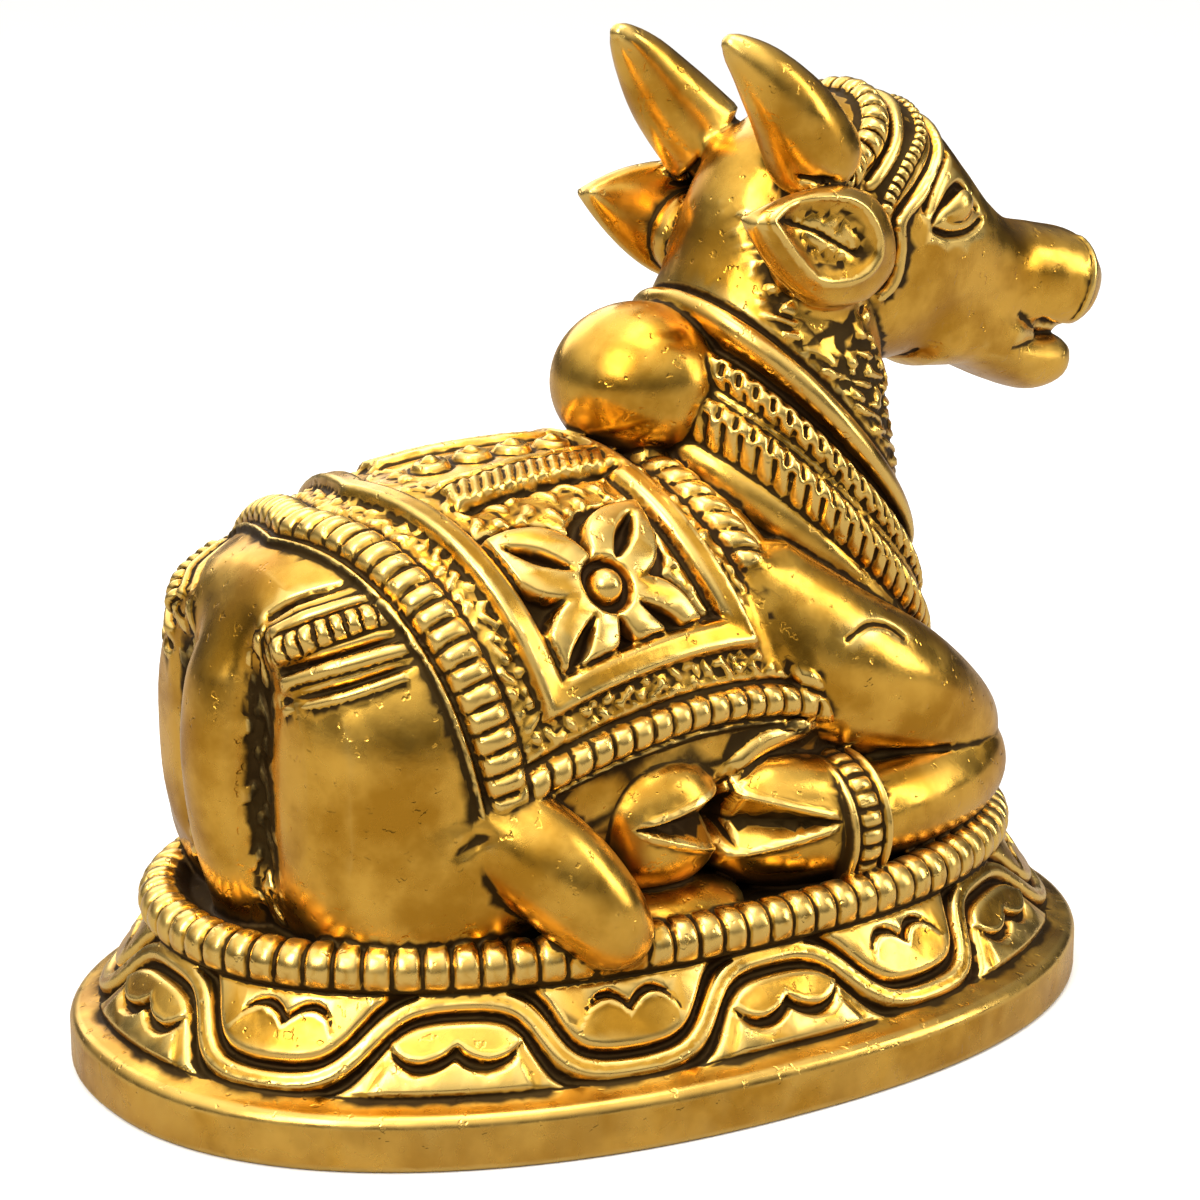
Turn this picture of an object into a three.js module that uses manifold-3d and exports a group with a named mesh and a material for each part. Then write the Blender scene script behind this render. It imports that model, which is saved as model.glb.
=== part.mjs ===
// Reclining nandi bull cast in brass on an oval plinth, one casting
import * as THREE from 'three';
import Module from 'manifold-3d';

const wasm = await Module();
wasm.setup();

// Plinth sizes in millimetres
const FOOT_LENGTH = 112;
const FOOT_WIDTH = 78;
const FOOT_SIDE = 4.6;
const FOOT_ROUND = 1.0;
const FOOT_RISE = 0.4;
const LEDGE = 2.9;
const SKIRT_RISE = 8.1;
const SKIRT_INSET = 5.9;
const OVAL_POWER = 2.23;
const OVAL_TAPER = 0.045;

// Rope ring that edges the deck
const RING_RADIUS = 2.4;
const RING_INSET = 0.7;
const RING_SINK = 0.1;
const RING_BEAD_PITCH = 2.6;
const RING_PINCH = 0.82;
const RING_FOOT_TURN = 0.25;
const RING_CROWN_TURN = 1.75;
const DECK_RISE = 0.6;

// Petal band on the skirt; heights and widths are shares of the skirt and of a petal
const PETAL_PAIRS = 8;
const RIBBON_WIDTH = 2.6;
const RIBBON_LIFT = 0.8;
const RIBBON_MID = 0.52;
const RIBBON_SWAY = 0.37;
const RIBBON_FULLNESS = 1.6;
const RIBBON_MARKS = 6;
const LOBE_LIFT = 0.8;
const LOBE_HALF_WIDTH = 0.38;
const LOBE_HEIGHT = 0.57;
const LOBE_LOW = 0.04;
const LOBE_HIGH = 0.97;
const LOBE_TOP_SHARE = 0.62;
const LOBE_CORNERS = 6;
const ROOT_DEPTH = 0.8;

// Figure: its height above the deck, shared out in 83 parts
const FIGURE_HEIGHT = 83;
const PARTS_HIGH = 83;
const U = FIGURE_HEIGHT / PARTS_HIGH;

// Saddle cloth, ropes and collar, in parts
const CLOTH_LIFT = 0.7;
const CLOTH_REACH = 39;
const CLOTH_REACH_FRONT = 33;
const CLOTH_ROPE = 1.75;
const CLOTH_PITCH = 2.2;
const FRAME_LIFT = 1;
const FRAME_WIDTH = 2.6;
const FRAME_SHARE = 0.17;
const FRAME_DROP = 0.13;
const PETALS = [[13.1, 0.63], [13.7, 2.31], [13.4, 3.7], [11.6, 5.44]];
const PETAL_HALF_SHARE = 0.31;
const PETAL_LIFT = 1.9;

// Counts and heights that follow from the sizes above
const RING_SPOT = LEDGE + SKIRT_INSET + RING_INSET;
const RING_GIRTH = Math.PI * (FOOT_LENGTH + FOOT_WIDTH - RING_SPOT * 4) / 2;
const RING_BEAD_PAIRS = Math.round(RING_GIRTH / RING_BEAD_PITCH / 2);
const LEDGE_Z = FOOT_SIDE + FOOT_ROUND + FOOT_RISE;
const SKIRT_TOP_Z = LEDGE_Z + SKIRT_RISE;
const RING_Z = SKIRT_TOP_Z + RING_RADIUS - RING_SINK;
const DECK_Z = RING_Z + DECK_RISE;
const SKIRT_RUN = Math.hypot(SKIRT_RISE, SKIRT_INSET);
const SKIRT_GIRTH = Math.PI * (FOOT_LENGTH + FOOT_WIDTH) / 2;

const TURN = Math.PI * 2;
const NUDGE = 0.002;
const V = (x, y, z) => new THREE.Vector3(x, y, z);
const at = (x, y, z) => V(x * U, y * U, DECK_Z + z * U);
const bend = (v, p) => Math.sign(v) * Math.abs(v) ** p;
const mix = (a, b, t) => a + (b - a) * t;
const steps = (count) => Array.from({ length: count }, (_, i) => i);

// Closed body from rings of points, capped at both ends
function loft(rings) {
  const verts = rings.flat();
  const tris = [];
  let start = 0;
  rings.slice(1).forEach((ring, r) => {
    const below = rings[r].length;
    bridge(tris, start, below, start + below, ring.length);
    start += below;
  });
  const first = verts.push(centre(rings[0])) - 1;
  const last = verts.push(centre(rings.at(-1))) - 1;
  fan(tris, first, 0, rings[0].length, true);
  fan(tris, last, start, rings.at(-1).length, false);
  return body(verts, tris);
}

// Closed loop of rings, such as a roll that meets itself
function hoop(rings) {
  const tris = [];
  const count = rings[0].length;
  rings.forEach((_, r) => {
    const next = (r + 1) % rings.length;
    bridge(tris, r * count, count, next * count, count);
  });
  return body(rings.flat(), tris);
}

// Faces between two rings; one may have a whole multiple of the other's points
function bridge(tris, a, countA, b, countB) {
  const coarse = Math.min(countA, countB);
  const share = Math.max(countA, countB) / coarse;
  const half = Math.ceil(share / 2);
  const flip = countA > countB;
  const [c, f, fine] = flip ? [b, a, countA] : [a, b, countB];
  const face = (p, q, r) => (flip ? tris.push(p, r, q) : tris.push(p, q, r));
  for (let i = 0; i < coarse; i += 1) {
    const c0 = c + i;
    const c1 = c + ((i + 1) % coarse);
    const spot = (k) => f + ((i * share + k) % fine);
    for (let k = 0; k < half; k += 1) face(c0, spot(k + 1), spot(k));
    face(c0, c1, spot(half));
    for (let k = half; k < share; k += 1) face(c1, spot(k + 1), spot(k));
  }
}

// Triangles from a ring to its middle point
function fan(tris, hub, start, count, under) {
  for (let i = 0; i < count; i += 1) {
    const j = (i + 1) % count;
    if (under) tris.push(hub, start + j, start + i);
    else tris.push(hub, start + i, start + j);
  }
}

function centre(ring) {
  const sum = ring.reduce((acc, p) => acc.add(p), V(0, 0, 0));
  return sum.divideScalar(ring.length);
}

// Geometry with its faces turned outward
function body(verts, tris) {
  let volume = 0;
  for (let i = 0; i < tris.length; i += 3) {
    const [a, b, c] = [verts[tris[i]], verts[tris[i + 1]], verts[tris[i + 2]]];
    volume += a.dot(b.clone().cross(c));
  }
  if (volume < 0) tris.reverse();
  const geometry = new THREE.BufferGeometry();
  geometry.setFromPoints(verts);
  geometry.setIndex(tris);
  return geometry;
}

// Solid from a closed geometry
function solid(geometry) {
  return new wasm.Manifold(new wasm.Mesh({
    numProp: 3,
    vertProperties: new Float32Array(geometry.attributes.position.array),
    triVerts: new Uint32Array(geometry.index.array),
  }));
}

const joined = (geometries) => wasm.Manifold.union(geometries.map(solid));

// Oval ring in the plane of two directions
function oval(mid, across, up, halfAcross, halfUp, power, count) {
  return steps(count).map((i) => {
    const a = (i / count) * TURN;
    return mid.clone()
      .addScaledVector(across, halfAcross * bend(Math.cos(a), 2 / power))
      .addScaledVector(up, halfUp * bend(Math.sin(a), 2 / power));
  });
}

// Smooth curve through evenly weighted rows of numbers
function smoothRow(rows, t) {
  const last = rows.length - 1;
  const s = Math.min(Math.max(t, 0), 1) * last;
  const i = Math.min(Math.floor(s), last - 1);
  const f = s - i;
  const p = [i - 1, i, i + 1, i + 2].map((k) => rows[Math.min(Math.max(k, 0), last)]);
  return p[1].map((_, n) => {
    const [a, b, c, d] = p.map((row) => row[n]);
    const slope = (c - a) / 2;
    const next = (d - b) / 2;
    return ((2 * f - 3) * f * f + 1) * b + ((f - 2) * f + 1) * f * slope
      + (3 - 2 * f) * f * f * c + (f - 1) * f * f * next;
  });
}

// Row of numbers looked up by its first number
function rowAt(rows, x) {
  const last = rows.length - 1;
  let i = 0;
  while (i < last - 1 && x > rows[i + 1][0]) i += 1;
  const f = Math.min(Math.max((x - rows[i][0]) / (rows[i + 1][0] - rows[i][0]), 0), 1);
  return smoothRow(rows, (i + f) / last);
}

// Rounded bar along points; each ring stands across the path
function bar(points, sizes, count = 10, power = 2) {
  const rings = points.map((p, i) => {
    const before = points[Math.max(i - 1, 0)];
    const after = points[Math.min(i + 1, points.length - 1)];
    const along = after.clone().sub(before).normalize();
    const side = along.clone().cross(V(0, 0, 1)).normalize();
    const up = side.clone().cross(along).normalize();
    return oval(p, side, up, sizes[i][0] * U, sizes[i][1] * U, power, count);
  });
  return loft(rings);
}

// Rounded lump with its own three half sizes
function lump(mid, half, power = 2, rows = 8, count = 12) {
  const rings = [];
  for (let r = 1; r < rows; r += 1) {
    const a = Math.PI * (r / rows) - Math.PI / 2;
    const shrink = bend(Math.cos(a), 2 / power);
    const z = bend(Math.sin(a), 2 / power) * half[2] * U;
    const c = mid.clone().add(V(0, 0, z));
    const [halfX, halfY] = [half[0] * U * shrink, half[1] * U * shrink];
    rings.push(oval(c, V(1, 0, 0), V(0, 1, 0), halfX, halfY, power, count));
  }
  return loft(rings);
}

// Oval of the plinth at an inset from the foot plate's edge
function plinthOval(inset, z, count) {
  const a = FOOT_LENGTH / 2 - inset;
  const b = FOOT_WIDTH / 2 - inset;
  const ring = oval(V(0, 0, z), V(1, 0, 0), V(0, 1, 0), a, b, OVAL_POWER, count);
  return ring.map((p) => p.setY(p.y * (1 + (OVAL_TAPER * p.x) / a)));
}

// Point on that oval at a share of its way round, evenly paced
function paced(inset, z) {
  const count = 720;
  const fine = plinthOval(inset, z, count);
  const runs = [0];
  fine.forEach((p, i) => runs.push(runs[i] + p.distanceTo(fine[(i + 1) % count])));
  return (share) => {
    const goal = (((share % 1) + 1) % 1) * runs[count];
    let i = 0;
    while (runs[i + 1] < goal) i += 1;
    const f = (goal - runs[i]) / (runs[i + 1] - runs[i]);
    return fine[i].clone().lerp(fine[(i + 1) % count], f);
  };
}

// Plinth: foot plate, ledge, sloping skirt, rope ring and deck in one turn
function plinth() {
  const even = (inset, z) => {
    const walk = paced(inset, z);
    return steps(RING_BEAD_PAIRS).map((i) => walk(i / RING_BEAD_PAIRS));
  };
  const round = (turn, radius) => {
    const inset = RING_SPOT - radius * Math.cos(turn);
    return paced(inset, RING_Z + radius * Math.sin(turn));
  };
  const beaded = (turn) => {
    const full = round(turn, RING_RADIUS);
    const slim = round(turn, RING_RADIUS * RING_PINCH);
    const marks = RING_BEAD_PAIRS * 4;
    return steps(marks).map((i) => (i % 2 ? full : slim)(i / marks));
  };
  return loft([
    even(0, 0),
    even(0, FOOT_SIDE),
    even(FOOT_ROUND, FOOT_SIDE + FOOT_ROUND),
    even(LEDGE, LEDGE_Z),
    even(LEDGE + SKIRT_INSET, SKIRT_TOP_Z),
    beaded(RING_FOOT_TURN),
    beaded(RING_CROWN_TURN),
    even(RING_SPOT + RING_RADIUS, DECK_Z),
  ]);
}

// Skirt surface: share of the way round, share of its height, lift off the face
function skirtPoint(share, rise, lift) {
  const low = skirtFoot(share);
  const high = skirtHead(share);
  const along = skirtFoot(share + NUDGE).sub(skirtFoot(share - NUDGE)).normalize();
  const slope = high.clone().sub(low);
  const out = along.cross(slope).normalize();
  return low.addScaledVector(slope, rise).addScaledVector(out, lift);
}
const skirtFoot = paced(LEDGE, LEDGE_Z);
const skirtHead = paced(LEDGE + SKIRT_INSET, SKIRT_TOP_Z);

// Height of the ribbon's wave at a share of the way round
function ribbonRise(share) {
  const wave = Math.tanh(RIBBON_FULLNESS * Math.cos(share * PETAL_PAIRS * TURN));
  return RIBBON_MID + (RIBBON_SWAY * wave) / Math.tanh(RIBBON_FULLNESS);
}

// Raised ribbon that waves round the skirt between the petals
function ribbon() {
  const marks = PETAL_PAIRS * RIBBON_MARKS;
  const half = RIBBON_WIDTH / 2;
  return hoop(steps(marks).map((i) => {
    const share = i / marks;
    const climb = ribbonRise(share + NUDGE) - ribbonRise(share - NUDGE);
    const run = V(2 * NUDGE * SKIRT_GIRTH, climb * SKIRT_RUN, 0).normalize();
    const corner = (w, lift) => {
      const round = share - (run.y * w) / SKIRT_GIRTH;
      const rise = ribbonRise(share) + (run.x * w) / SKIRT_RUN;
      return skirtPoint(round, rise, lift);
    };
    return [corner(-half, -ROOT_DEPTH), corner(half, -ROOT_DEPTH), corner(0, RIBBON_LIFT)];
  }));
}

// Rounded lobe inside each arch and each cup of the ribbon
function lobe(index) {
  const upward = index % 2 === 0;
  const mid = index / (PETAL_PAIRS * 2);
  const wide = LOBE_HALF_WIDTH / (PETAL_PAIRS * 2);
  const base = upward ? LOBE_LOW : LOBE_HIGH;
  const tall = upward ? LOBE_HEIGHT : -LOBE_HEIGHT;
  const ring = (shrink, lift) => steps(LOBE_CORNERS).map((i) => {
    const a = (i / LOBE_CORNERS) * TURN;
    const rise = base + tall * (0.5 + 0.5 * shrink * Math.sin(a));
    return skirtPoint(mid + wide * shrink * Math.cos(a), rise, lift);
  });
  return loft([ring(1, -ROOT_DEPTH), ring(LOBE_TOP_SHARE, LOBE_LIFT)]);
}

// Trunk: upright rounded sections by place, half width, top and low point
const TRUNK_MID = 17;
const TRUNK_CROWN = 5;
const TRUNK_ROWS = [
  [-42.4, 9, 26, 10], [-41.4, 15.5, 32, 4], [-39, 19.4, 35, -2], [-34.5, 22.4, 37.2, -4],
  [-28, 24, 39.4, -3], [-20, 24.4, 41, -2.4], [-12, 24.2, 41.8, -2.4], [-2, 23.6, 41.6, -2.4],
  [8, 22.6, 39.5, -2.4], [17, 21.2, 35, -2.4], [24, 19.2, 29, -2.4], [30, 16, 22, -2.4],
  [35.8, 10.6, 15, -2.4], [39.8, 4.2, 9, -2],
];
const UPPER_POWER = 2.1;
const LOWER_POWER = 3.2;

function trunkSpot(x, a) {
  const [, half, top, low] = rowAt(TRUNK_ROWS, x);
  const mid = Math.min(TRUNK_MID, top - TRUNK_CROWN);
  const s = Math.sin(a);
  const power = s > 0 ? UPPER_POWER : LOWER_POWER;
  const reach = s > 0 ? top - mid : mid - low;
  return V(x, half * bend(Math.cos(a), 2 / power), mid + reach * bend(s, 2 / power));
}

// Trunk skin: place along the back, run down from the spine, lift off the skin
function spinePoint(x, run) {
  const marks = 48;
  let past = trunkSpot(x, Math.PI / 2);
  let gone = 0;
  for (let i = 1; i <= marks; i += 1) {
    const next = trunkSpot(x, Math.PI / 2 - (i / marks) * Math.PI);
    const step = next.distanceTo(past);
    if (gone + step >= Math.abs(run) || i === marks) {
      const p = past.lerp(next, Math.min((Math.abs(run) - gone) / step, 1));
      if (run > 0) p.y = -p.y;
      return p;
    }
    gone += step;
    past = next;
  }
  return past;
}

function halfGirth(x) {
  const spots = spread(Math.PI / 2, -Math.PI / 2, 48).map((a) => trunkSpot(x, a));
  return spots.slice(1).reduce((sum, p, i) => sum + p.distanceTo(spots[i]), 0);
}

function skinFrame(x, run) {
  const p = spinePoint(x, run);
  const along = spinePoint(x + 0.4, run).sub(spinePoint(x - 0.4, run)).normalize();
  const down = spinePoint(x, run + 0.4).sub(spinePoint(x, run - 0.4)).normalize();
  const out = down.clone().cross(along).normalize();
  return { p, along, down, out };
}

function skin(x, run, lift = 0) {
  const { p, out } = skinFrame(x, run);
  p.addScaledVector(out, lift);
  return at(p.x, p.y, p.z);
}

// Cloth place: share from rear to front edge, share of the way down a side
const clothReach = (share) => mix(CLOTH_REACH, CLOTH_REACH_FRONT, share);

function clothX(share, down) {
  const rear = -33.4 + 8.2 * down;
  const front = 3.6 + 8.6 * down ** 1.6;
  return mix(rear, front, share);
}

function clothSpot(share, down, side, lift) {
  return skin(clothX(share, down), side * down * clothReach(share), lift);
}

function spread(from, to, count) {
  return steps(count + 1).map((i) => mix(from, to, i / count));
}

// Steps of the rings that run down both sides from the spine
const COARSE_SHARE = 4;
const SIDE_BEAD_PAIRS = Math.round(CLOTH_REACH / CLOTH_PITCH / 2);
const UNDER_STEPS = COARSE_SHARE * 2;
const FINE = (SIDE_BEAD_PAIRS * COARSE_SHARE + UNDER_STEPS) * 2;
const CLOTH_GIRTH_SHARE = 0.55;

// Side, share of the cloth's drop and share of the rest, for a step of a ring
function stepOfRing(k) {
  const half = FINE / 2;
  const side = k <= half ? 1 : -1;
  const step = k <= half ? k : FINE - k;
  const clothSteps = half - UNDER_STEPS;
  const down = Math.min(step / clothSteps, 1);
  const under = Math.max(step - clothSteps, 0) / UNDER_STEPS;
  return { side, down, under };
}

// Ring of bare skin
function plainRing(x) {
  const full = halfGirth(x);
  const foot = full * CLOTH_GIRTH_SHARE;
  return steps(FINE / COARSE_SHARE).map((i) => {
    const { side, down, under } = stepOfRing(i * COARSE_SHARE);
    return skin(x, side * (under ? mix(foot, full, under) : foot * down), 0);
  });
}

// Ring of the cloth; its lift ends at the cloth's foot
function clothRing(share, nudge, lift, beadLift) {
  const pace = beadLift ? 1 : COARSE_SHARE;
  const full = halfGirth(clothX(share, 1));
  return steps(FINE / pace).map((i) => {
    const { side, down, under } = stepOfRing(i * pace);
    const x = clothX(share, down) + nudge;
    if (under) return skin(x, side * mix(clothReach(share), full, under), 0);
    return skin(x, side * down * clothReach(share), lift + (beadLift && i % 2 ? beadLift : 0));
  });
}

// Beaded rope along the cloth's rear or front edge
function beadedEdge(share, inward) {
  const crest = CLOTH_LIFT + CLOTH_ROPE * 0.7;
  const step = inward * CLOTH_ROPE;
  return [
    clothRing(share, -step * 1.1, 0, 0),
    clothRing(share, 0, crest, CLOTH_ROPE * 0.4),
    clothRing(share, step * 1.1, CLOTH_LIFT, 0),
  ];
}

// Trunk and cloth in one body
function trunk() {
  const frame = (share) => [-0.5, 0, 0.5].map((step, i) => {
    const lift = CLOTH_LIFT + (i % 2 ? FRAME_LIFT : 0);
    return clothRing(share, step * FRAME_WIDTH, lift, 0);
  });
  return loft([
    ...[-42.4, -41.4, -39.4].map(plainRing),
    ...beadedEdge(0, 1),
    ...frame(FRAME_SHARE),
    ...[0.4, 0.6].map((share) => clothRing(share, 0, CLOTH_LIFT, 0)),
    ...frame(1 - FRAME_SHARE),
    ...beadedEdge(1, -1).reverse(),
    ...[17, 23, 29, 35, 39.4].map(plainRing),
  ]);
}

// Beaded rope along the foot of the cloth
function footRope(side) {
  const span = clothX(1, 1) - clothX(0, 1);
  const marks = Math.round(span / CLOTH_PITCH) * 2;
  return loft(steps(marks + 1).map((i) => {
    const share = i / marks;
    const crest = CLOTH_LIFT + CLOTH_ROPE * (i % 2 ? 1 : 0.55);
    const edge = CLOTH_ROPE / CLOTH_REACH;
    return [
      clothSpot(share, 1 + edge, side, -1),
      clothSpot(share, 1 + edge * 0.5, side, crest),
      clothSpot(share, 1 - edge * 0.5, side, crest),
      clothSpot(share, 1 - edge, side, -1),
    ];
  }));
}

// Foot strip of the raised frame on each side of the cloth
function frameFoot(side) {
  const low = 1 - FRAME_DROP;
  const high = low - FRAME_WIDTH / CLOTH_REACH;
  const shares = spread(FRAME_SHARE, 1 - FRAME_SHARE, 3);
  const row = (down, lift) => shares.map((share) => clothSpot(share, down, side, lift));
  const strip = (down) => [...row(down, CLOTH_LIFT + FRAME_LIFT), ...row(down, -1.2).reverse()];
  return loft([strip(low), strip(high)]);
}

// Four-petal flower on each side of the cloth
function flower(side) {
  const midX = -11.6;
  const midRun = 22.5;
  const petal = ([length, turn]) => {
    const ring = (shrink, lift) => steps(8).map((i) => {
      const a = (i / 8) * TURN;
      const reach = length * (0.54 + 0.46 * shrink * Math.cos(a));
      const wide = length * PETAL_HALF_SHARE * shrink * Math.sin(a);
      const x = midX + reach * Math.cos(turn) - wide * Math.sin(turn);
      const run = midRun + reach * Math.sin(turn) + wide * Math.cos(turn);
      return skin(x, side * run, lift);
    });
    return loft([ring(1.06, -0.4), ring(0.84, CLOTH_LIFT + PETAL_LIFT)]);
  };
  const ball = skin(midX, side * midRun, CLOTH_LIFT + 1.2);
  return [...PETALS.map(petal), lump(ball, [2, 2, 2], 2, 5, 6)];
}

// Neck and chest: leaning ovals given by their back and front points
const NECK_ROWS = [
  [3, 30, 39.6, 3, 16.4], [7, 45, 38.8, 16, 16.8], [9, 50.6, 37.4, 22.5, 16],
  [10.8, 55.8, 36.2, 29, 14.9], [13, 61, 35, 38.5, 12.4],
  [15, 67, 34.6, 46.5, 10.8], [17.6, 72, 34.6, 55, 9.4],
];
const COLLAR_ROWS = [[0.1, 1], [0.2, 1.7], [0.34, 1.7], [0.48, 1.5]];
const COLLAR_SPREAD = 0.034;

function neckRing(share, grow, count) {
  const [bx, bz, fx, fz, half] = smoothRow(NECK_ROWS, share);
  const back = at(bx, 0, bz);
  const front = at(fx, 0, fz);
  const long = front.clone().sub(back);
  const reach = long.length() / 2 + grow * U;
  const mid = back.lerp(front, 0.5);
  return oval(mid, long.normalize(), V(0, 1, 0), reach, (half + grow) * U, 2.1, count);
}

// Neck with the rolls of the collar round it and a rounded top
function neck() {
  const count = 14;
  const top = neckRing(1, 0, count);
  const mid = centre(top);
  const crown = [[0.82, 1.9], [0.4, 3]].map(([shrink, lift]) => {
    return top.map((p) => p.clone().lerp(mid, 1 - shrink).add(V(0, 0, lift * U)));
  });
  const rolls = COLLAR_ROWS.flatMap(([share, radius]) => {
    const reach = radius * COLLAR_SPREAD;
    return [[share - reach, 0], [share, radius], [share + reach, 0]];
  });
  const rows = [[0, 0], ...rolls, [0.66, 0], [0.83, 0], [1, 0]];
  return loft([...rows.map(([share, grow]) => neckRing(share, grow, count)), ...crown]);
}

// Head: upright ovals from poll to muzzle, by top point, low point, half width
const HEAD_ROWS = [
  [17.5, 69.5, 20, 56, 6.6], [21.6, 73.6, 25, 50, 9.8], [27.4, 75.6, 31, 47.4, 10.8],
  [34.6, 75.8, 37.2, 47.4, 10.6], [40, 73.6, 42.4, 48.2, 9.6], [44.4, 69.4, 46.4, 49, 8.4],
  [48.8, 64.8, 50.6, 49.2, 7.2],
  [53.4, 61.6, 54.8, 48.6, 6.5], [59, 60.4, 59.4, 48.2, 6.9], [63.2, 59.4, 63, 48.6, 6.6],
  [66, 57, 65.2, 50.4, 4.8],
];
const JAW_ROWS = [
  [40, 56, 41.5, 47.2, 7.4], [46, 53, 47.6, 45.6, 6.6], [52, 50.6, 53.4, 43.2, 5.6],
  [57, 49, 58, 41.8, 5], [61, 48.2, 61.6, 42.4, 4.3], [63.2, 47, 63.4, 44.2, 2.6],
];

function headRing(rows, share, grow, count) {
  const [tx, tz, lx, lz, half] = smoothRow(rows, share);
  const top = at(tx, 0, tz);
  const low = at(lx, 0, lz);
  const tall = top.clone().sub(low);
  const reach = tall.length() / 2 + grow * U;
  return oval(low.lerp(top, 0.5), V(0, 1, 0), tall.normalize(), (half + grow) * U, reach, 2.25, count);
}

// Head, lower jaw and the closed corner of the mouth between them
function head() {
  return [
    loft(spread(0, 1, 10).map((share) => headRing(HEAD_ROWS, share, 0, 12))),
    loft(spread(0, 1, 4).map((share) => headRing(JAW_ROWS, share, 0, 8))),
    bar([at(42, 0, 51), at(48, 0, 50), at(55.4, 0, 48.6)], [[8, 4], [6.6, 3.6], [4.8, 2.4]], 8),
  ];
}

// Points of a path on one side of the figure
const sided = (side, rows) => rows.map(([x, y, z]) => at(x, side * y, z));

// Head bands: arcs over the brow, given by their share of the head
function headBand(share, radius) {
  const marks = 28;
  const ring = headRing(HEAD_ROWS, share, 0.1, marks);
  const next = headRing(HEAD_ROWS, share + 0.02, 0.1, marks);
  return loft(steps(16).map((k) => {
    const i = (k + marks - 1) % marks;
    const p = ring[i];
    const up = next[i].clone().sub(p).normalize();
    const after = ring[(i + 1) % marks].clone();
    const along = after.sub(ring[(i + marks - 1) % marks]).normalize();
    const across = along.clone().cross(up).normalize();
    return oval(p, across, across.clone().cross(along), radius * U, radius * U, 2, 3);
  }));
}

// Horn: round cone leaning back from the brow, its foot a cap over a slimmer stem
function horn(side) {
  const path = [
    [22, 8.7, 69.8], [20.6, 9.6, 71.4], [17.2, 10.6, 75.4],
    [13.8, 10.4, 79.2], [11.2, 9.8, 81.6], [10.2, 9.6, 82.4],
  ];
  const sizes = [4.3, 4.9, 4.2, 3, 1.7, 0.9].map((r) => [r, r]);
  const stem = sided(side, [[28, 5, 63], [24, 6.5, 67.5], [21.2, 9, 70.6]]);
  return [bar(sided(side, path), sizes, 10), bar(stem, [[5, 5], [4.6, 4.6], [4, 4]], 8)];
}

// Ear: thick leaf pointing back, hollowed on its outer face
function earLeaf(side, shrink, depth, shift, count) {
  const root = at(27.8, side * 13, 59.6);
  const tip = at(9, side * 14.6, 65.6);
  const along = tip.clone().sub(root).normalize();
  const out = V(0.1, side, -0.12).normalize();
  const wide = along.clone().cross(out).normalize();
  const mid = root.clone().lerp(tip, 0.42);
  return loft([0.02, 0.16, 0.42, 0.75, 0.985].map((t) => {
    const swell = Math.sin(Math.PI * t ** 0.66);
    const half = 6.3 * shrink * swell ** 0.75;
    const thick = depth * (0.45 + 0.55 * swell);
    const spot = root.clone().lerp(tip, t);
    const p = mid.clone().lerp(spot, shrink).addScaledVector(out, shift * U);
    return oval(p, wide, out, half * U, thick * U, 2, count);
  }));
}

function ear(side) {
  const leaf = solid(earLeaf(side, 1, 3, 0, 8));
  const hollow = solid(earLeaf(side, 0.66, 1.5, 3.1, 6));
  const stem = solid(lump(at(21.5, side * 10.5, 60.5), [6, 4, 5], 2, 5, 8));
  return leaf.subtract(hollow).add(stem);
}

// Eye: almond with a raised rim under a brow ridge
function eye(side) {
  const mid = at(40.9, side * 8.5, 63.8);
  const along = V(0.93, -side * 0.28, -0.24).normalize();
  const out = V(0.25, side, 0.1).normalize();
  const up = along.clone().cross(out).normalize();
  const almond = (long, tall, lift) => steps(8).map((i) => {
    const a = (i / 8) * TURN;
    return mid.clone()
      .addScaledVector(along, long * U * Math.cos(a))
      .addScaledVector(up, tall * U * bend(Math.sin(a), 1.3))
      .addScaledVector(out, lift * U);
  });
  return loft([almond(3.6, 2, -2), almond(3.6, 2, 0.5), almond(2.6, 1.3, 0.9)]);
}

// Hollow of one nostril
function nostril(side) {
  return lump(at(65.8, side * 3.4, 56.2), [1.6, 1.2, 1.2], 2, 6, 8);
}

// Haunch, shank and hind hoof
function hindLeg(side) {
  const shank = [[-26, 21, 13], [-22, 25.4, 9], [-18.4, 28, 4.6], [-15.6, 29, 0.8], [-14.6, 29.2, -0.8]];
  const sizes = [[4, 5], [5, 5.4], [4.7, 4.9], [3.6, 3.7], [1.8, 1.9]];
  return [
    lump(at(-25, side * 11.6, 8.4), [16, 13.2, 14.6], 2.2, 7, 14),
    bar(sided(side, shank), sizes, 8),
    lump(at(-7, side * 21.8, 9.2), [6.9, 5.4, 6.6], 2.3, 8, 12),
    lump(at(-6.5, side * 22.5, 0.4), [9, 6.4, 3], 2, 4, 10),
  ];
}

// Cleft of a hoof: a wedge that widens from its closed end to the tips of the toes
function cleft(side, closed, open, half) {
  const ring = ([x, z], h) => [at(x, side * 30, z + h), at(x, side * 30, z - h), at(x, side * 23.8, z)];
  return loft([ring(closed, half * 0.04), ring(open, half)]);
}

const clefts = (side) => [
  cleft(side, [-10.6, 9.4], [-0.5, 9.8], 4.4),
  cleft(side, [11.6, 7], [-0.5, 8.2], 4.4),
];

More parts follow.
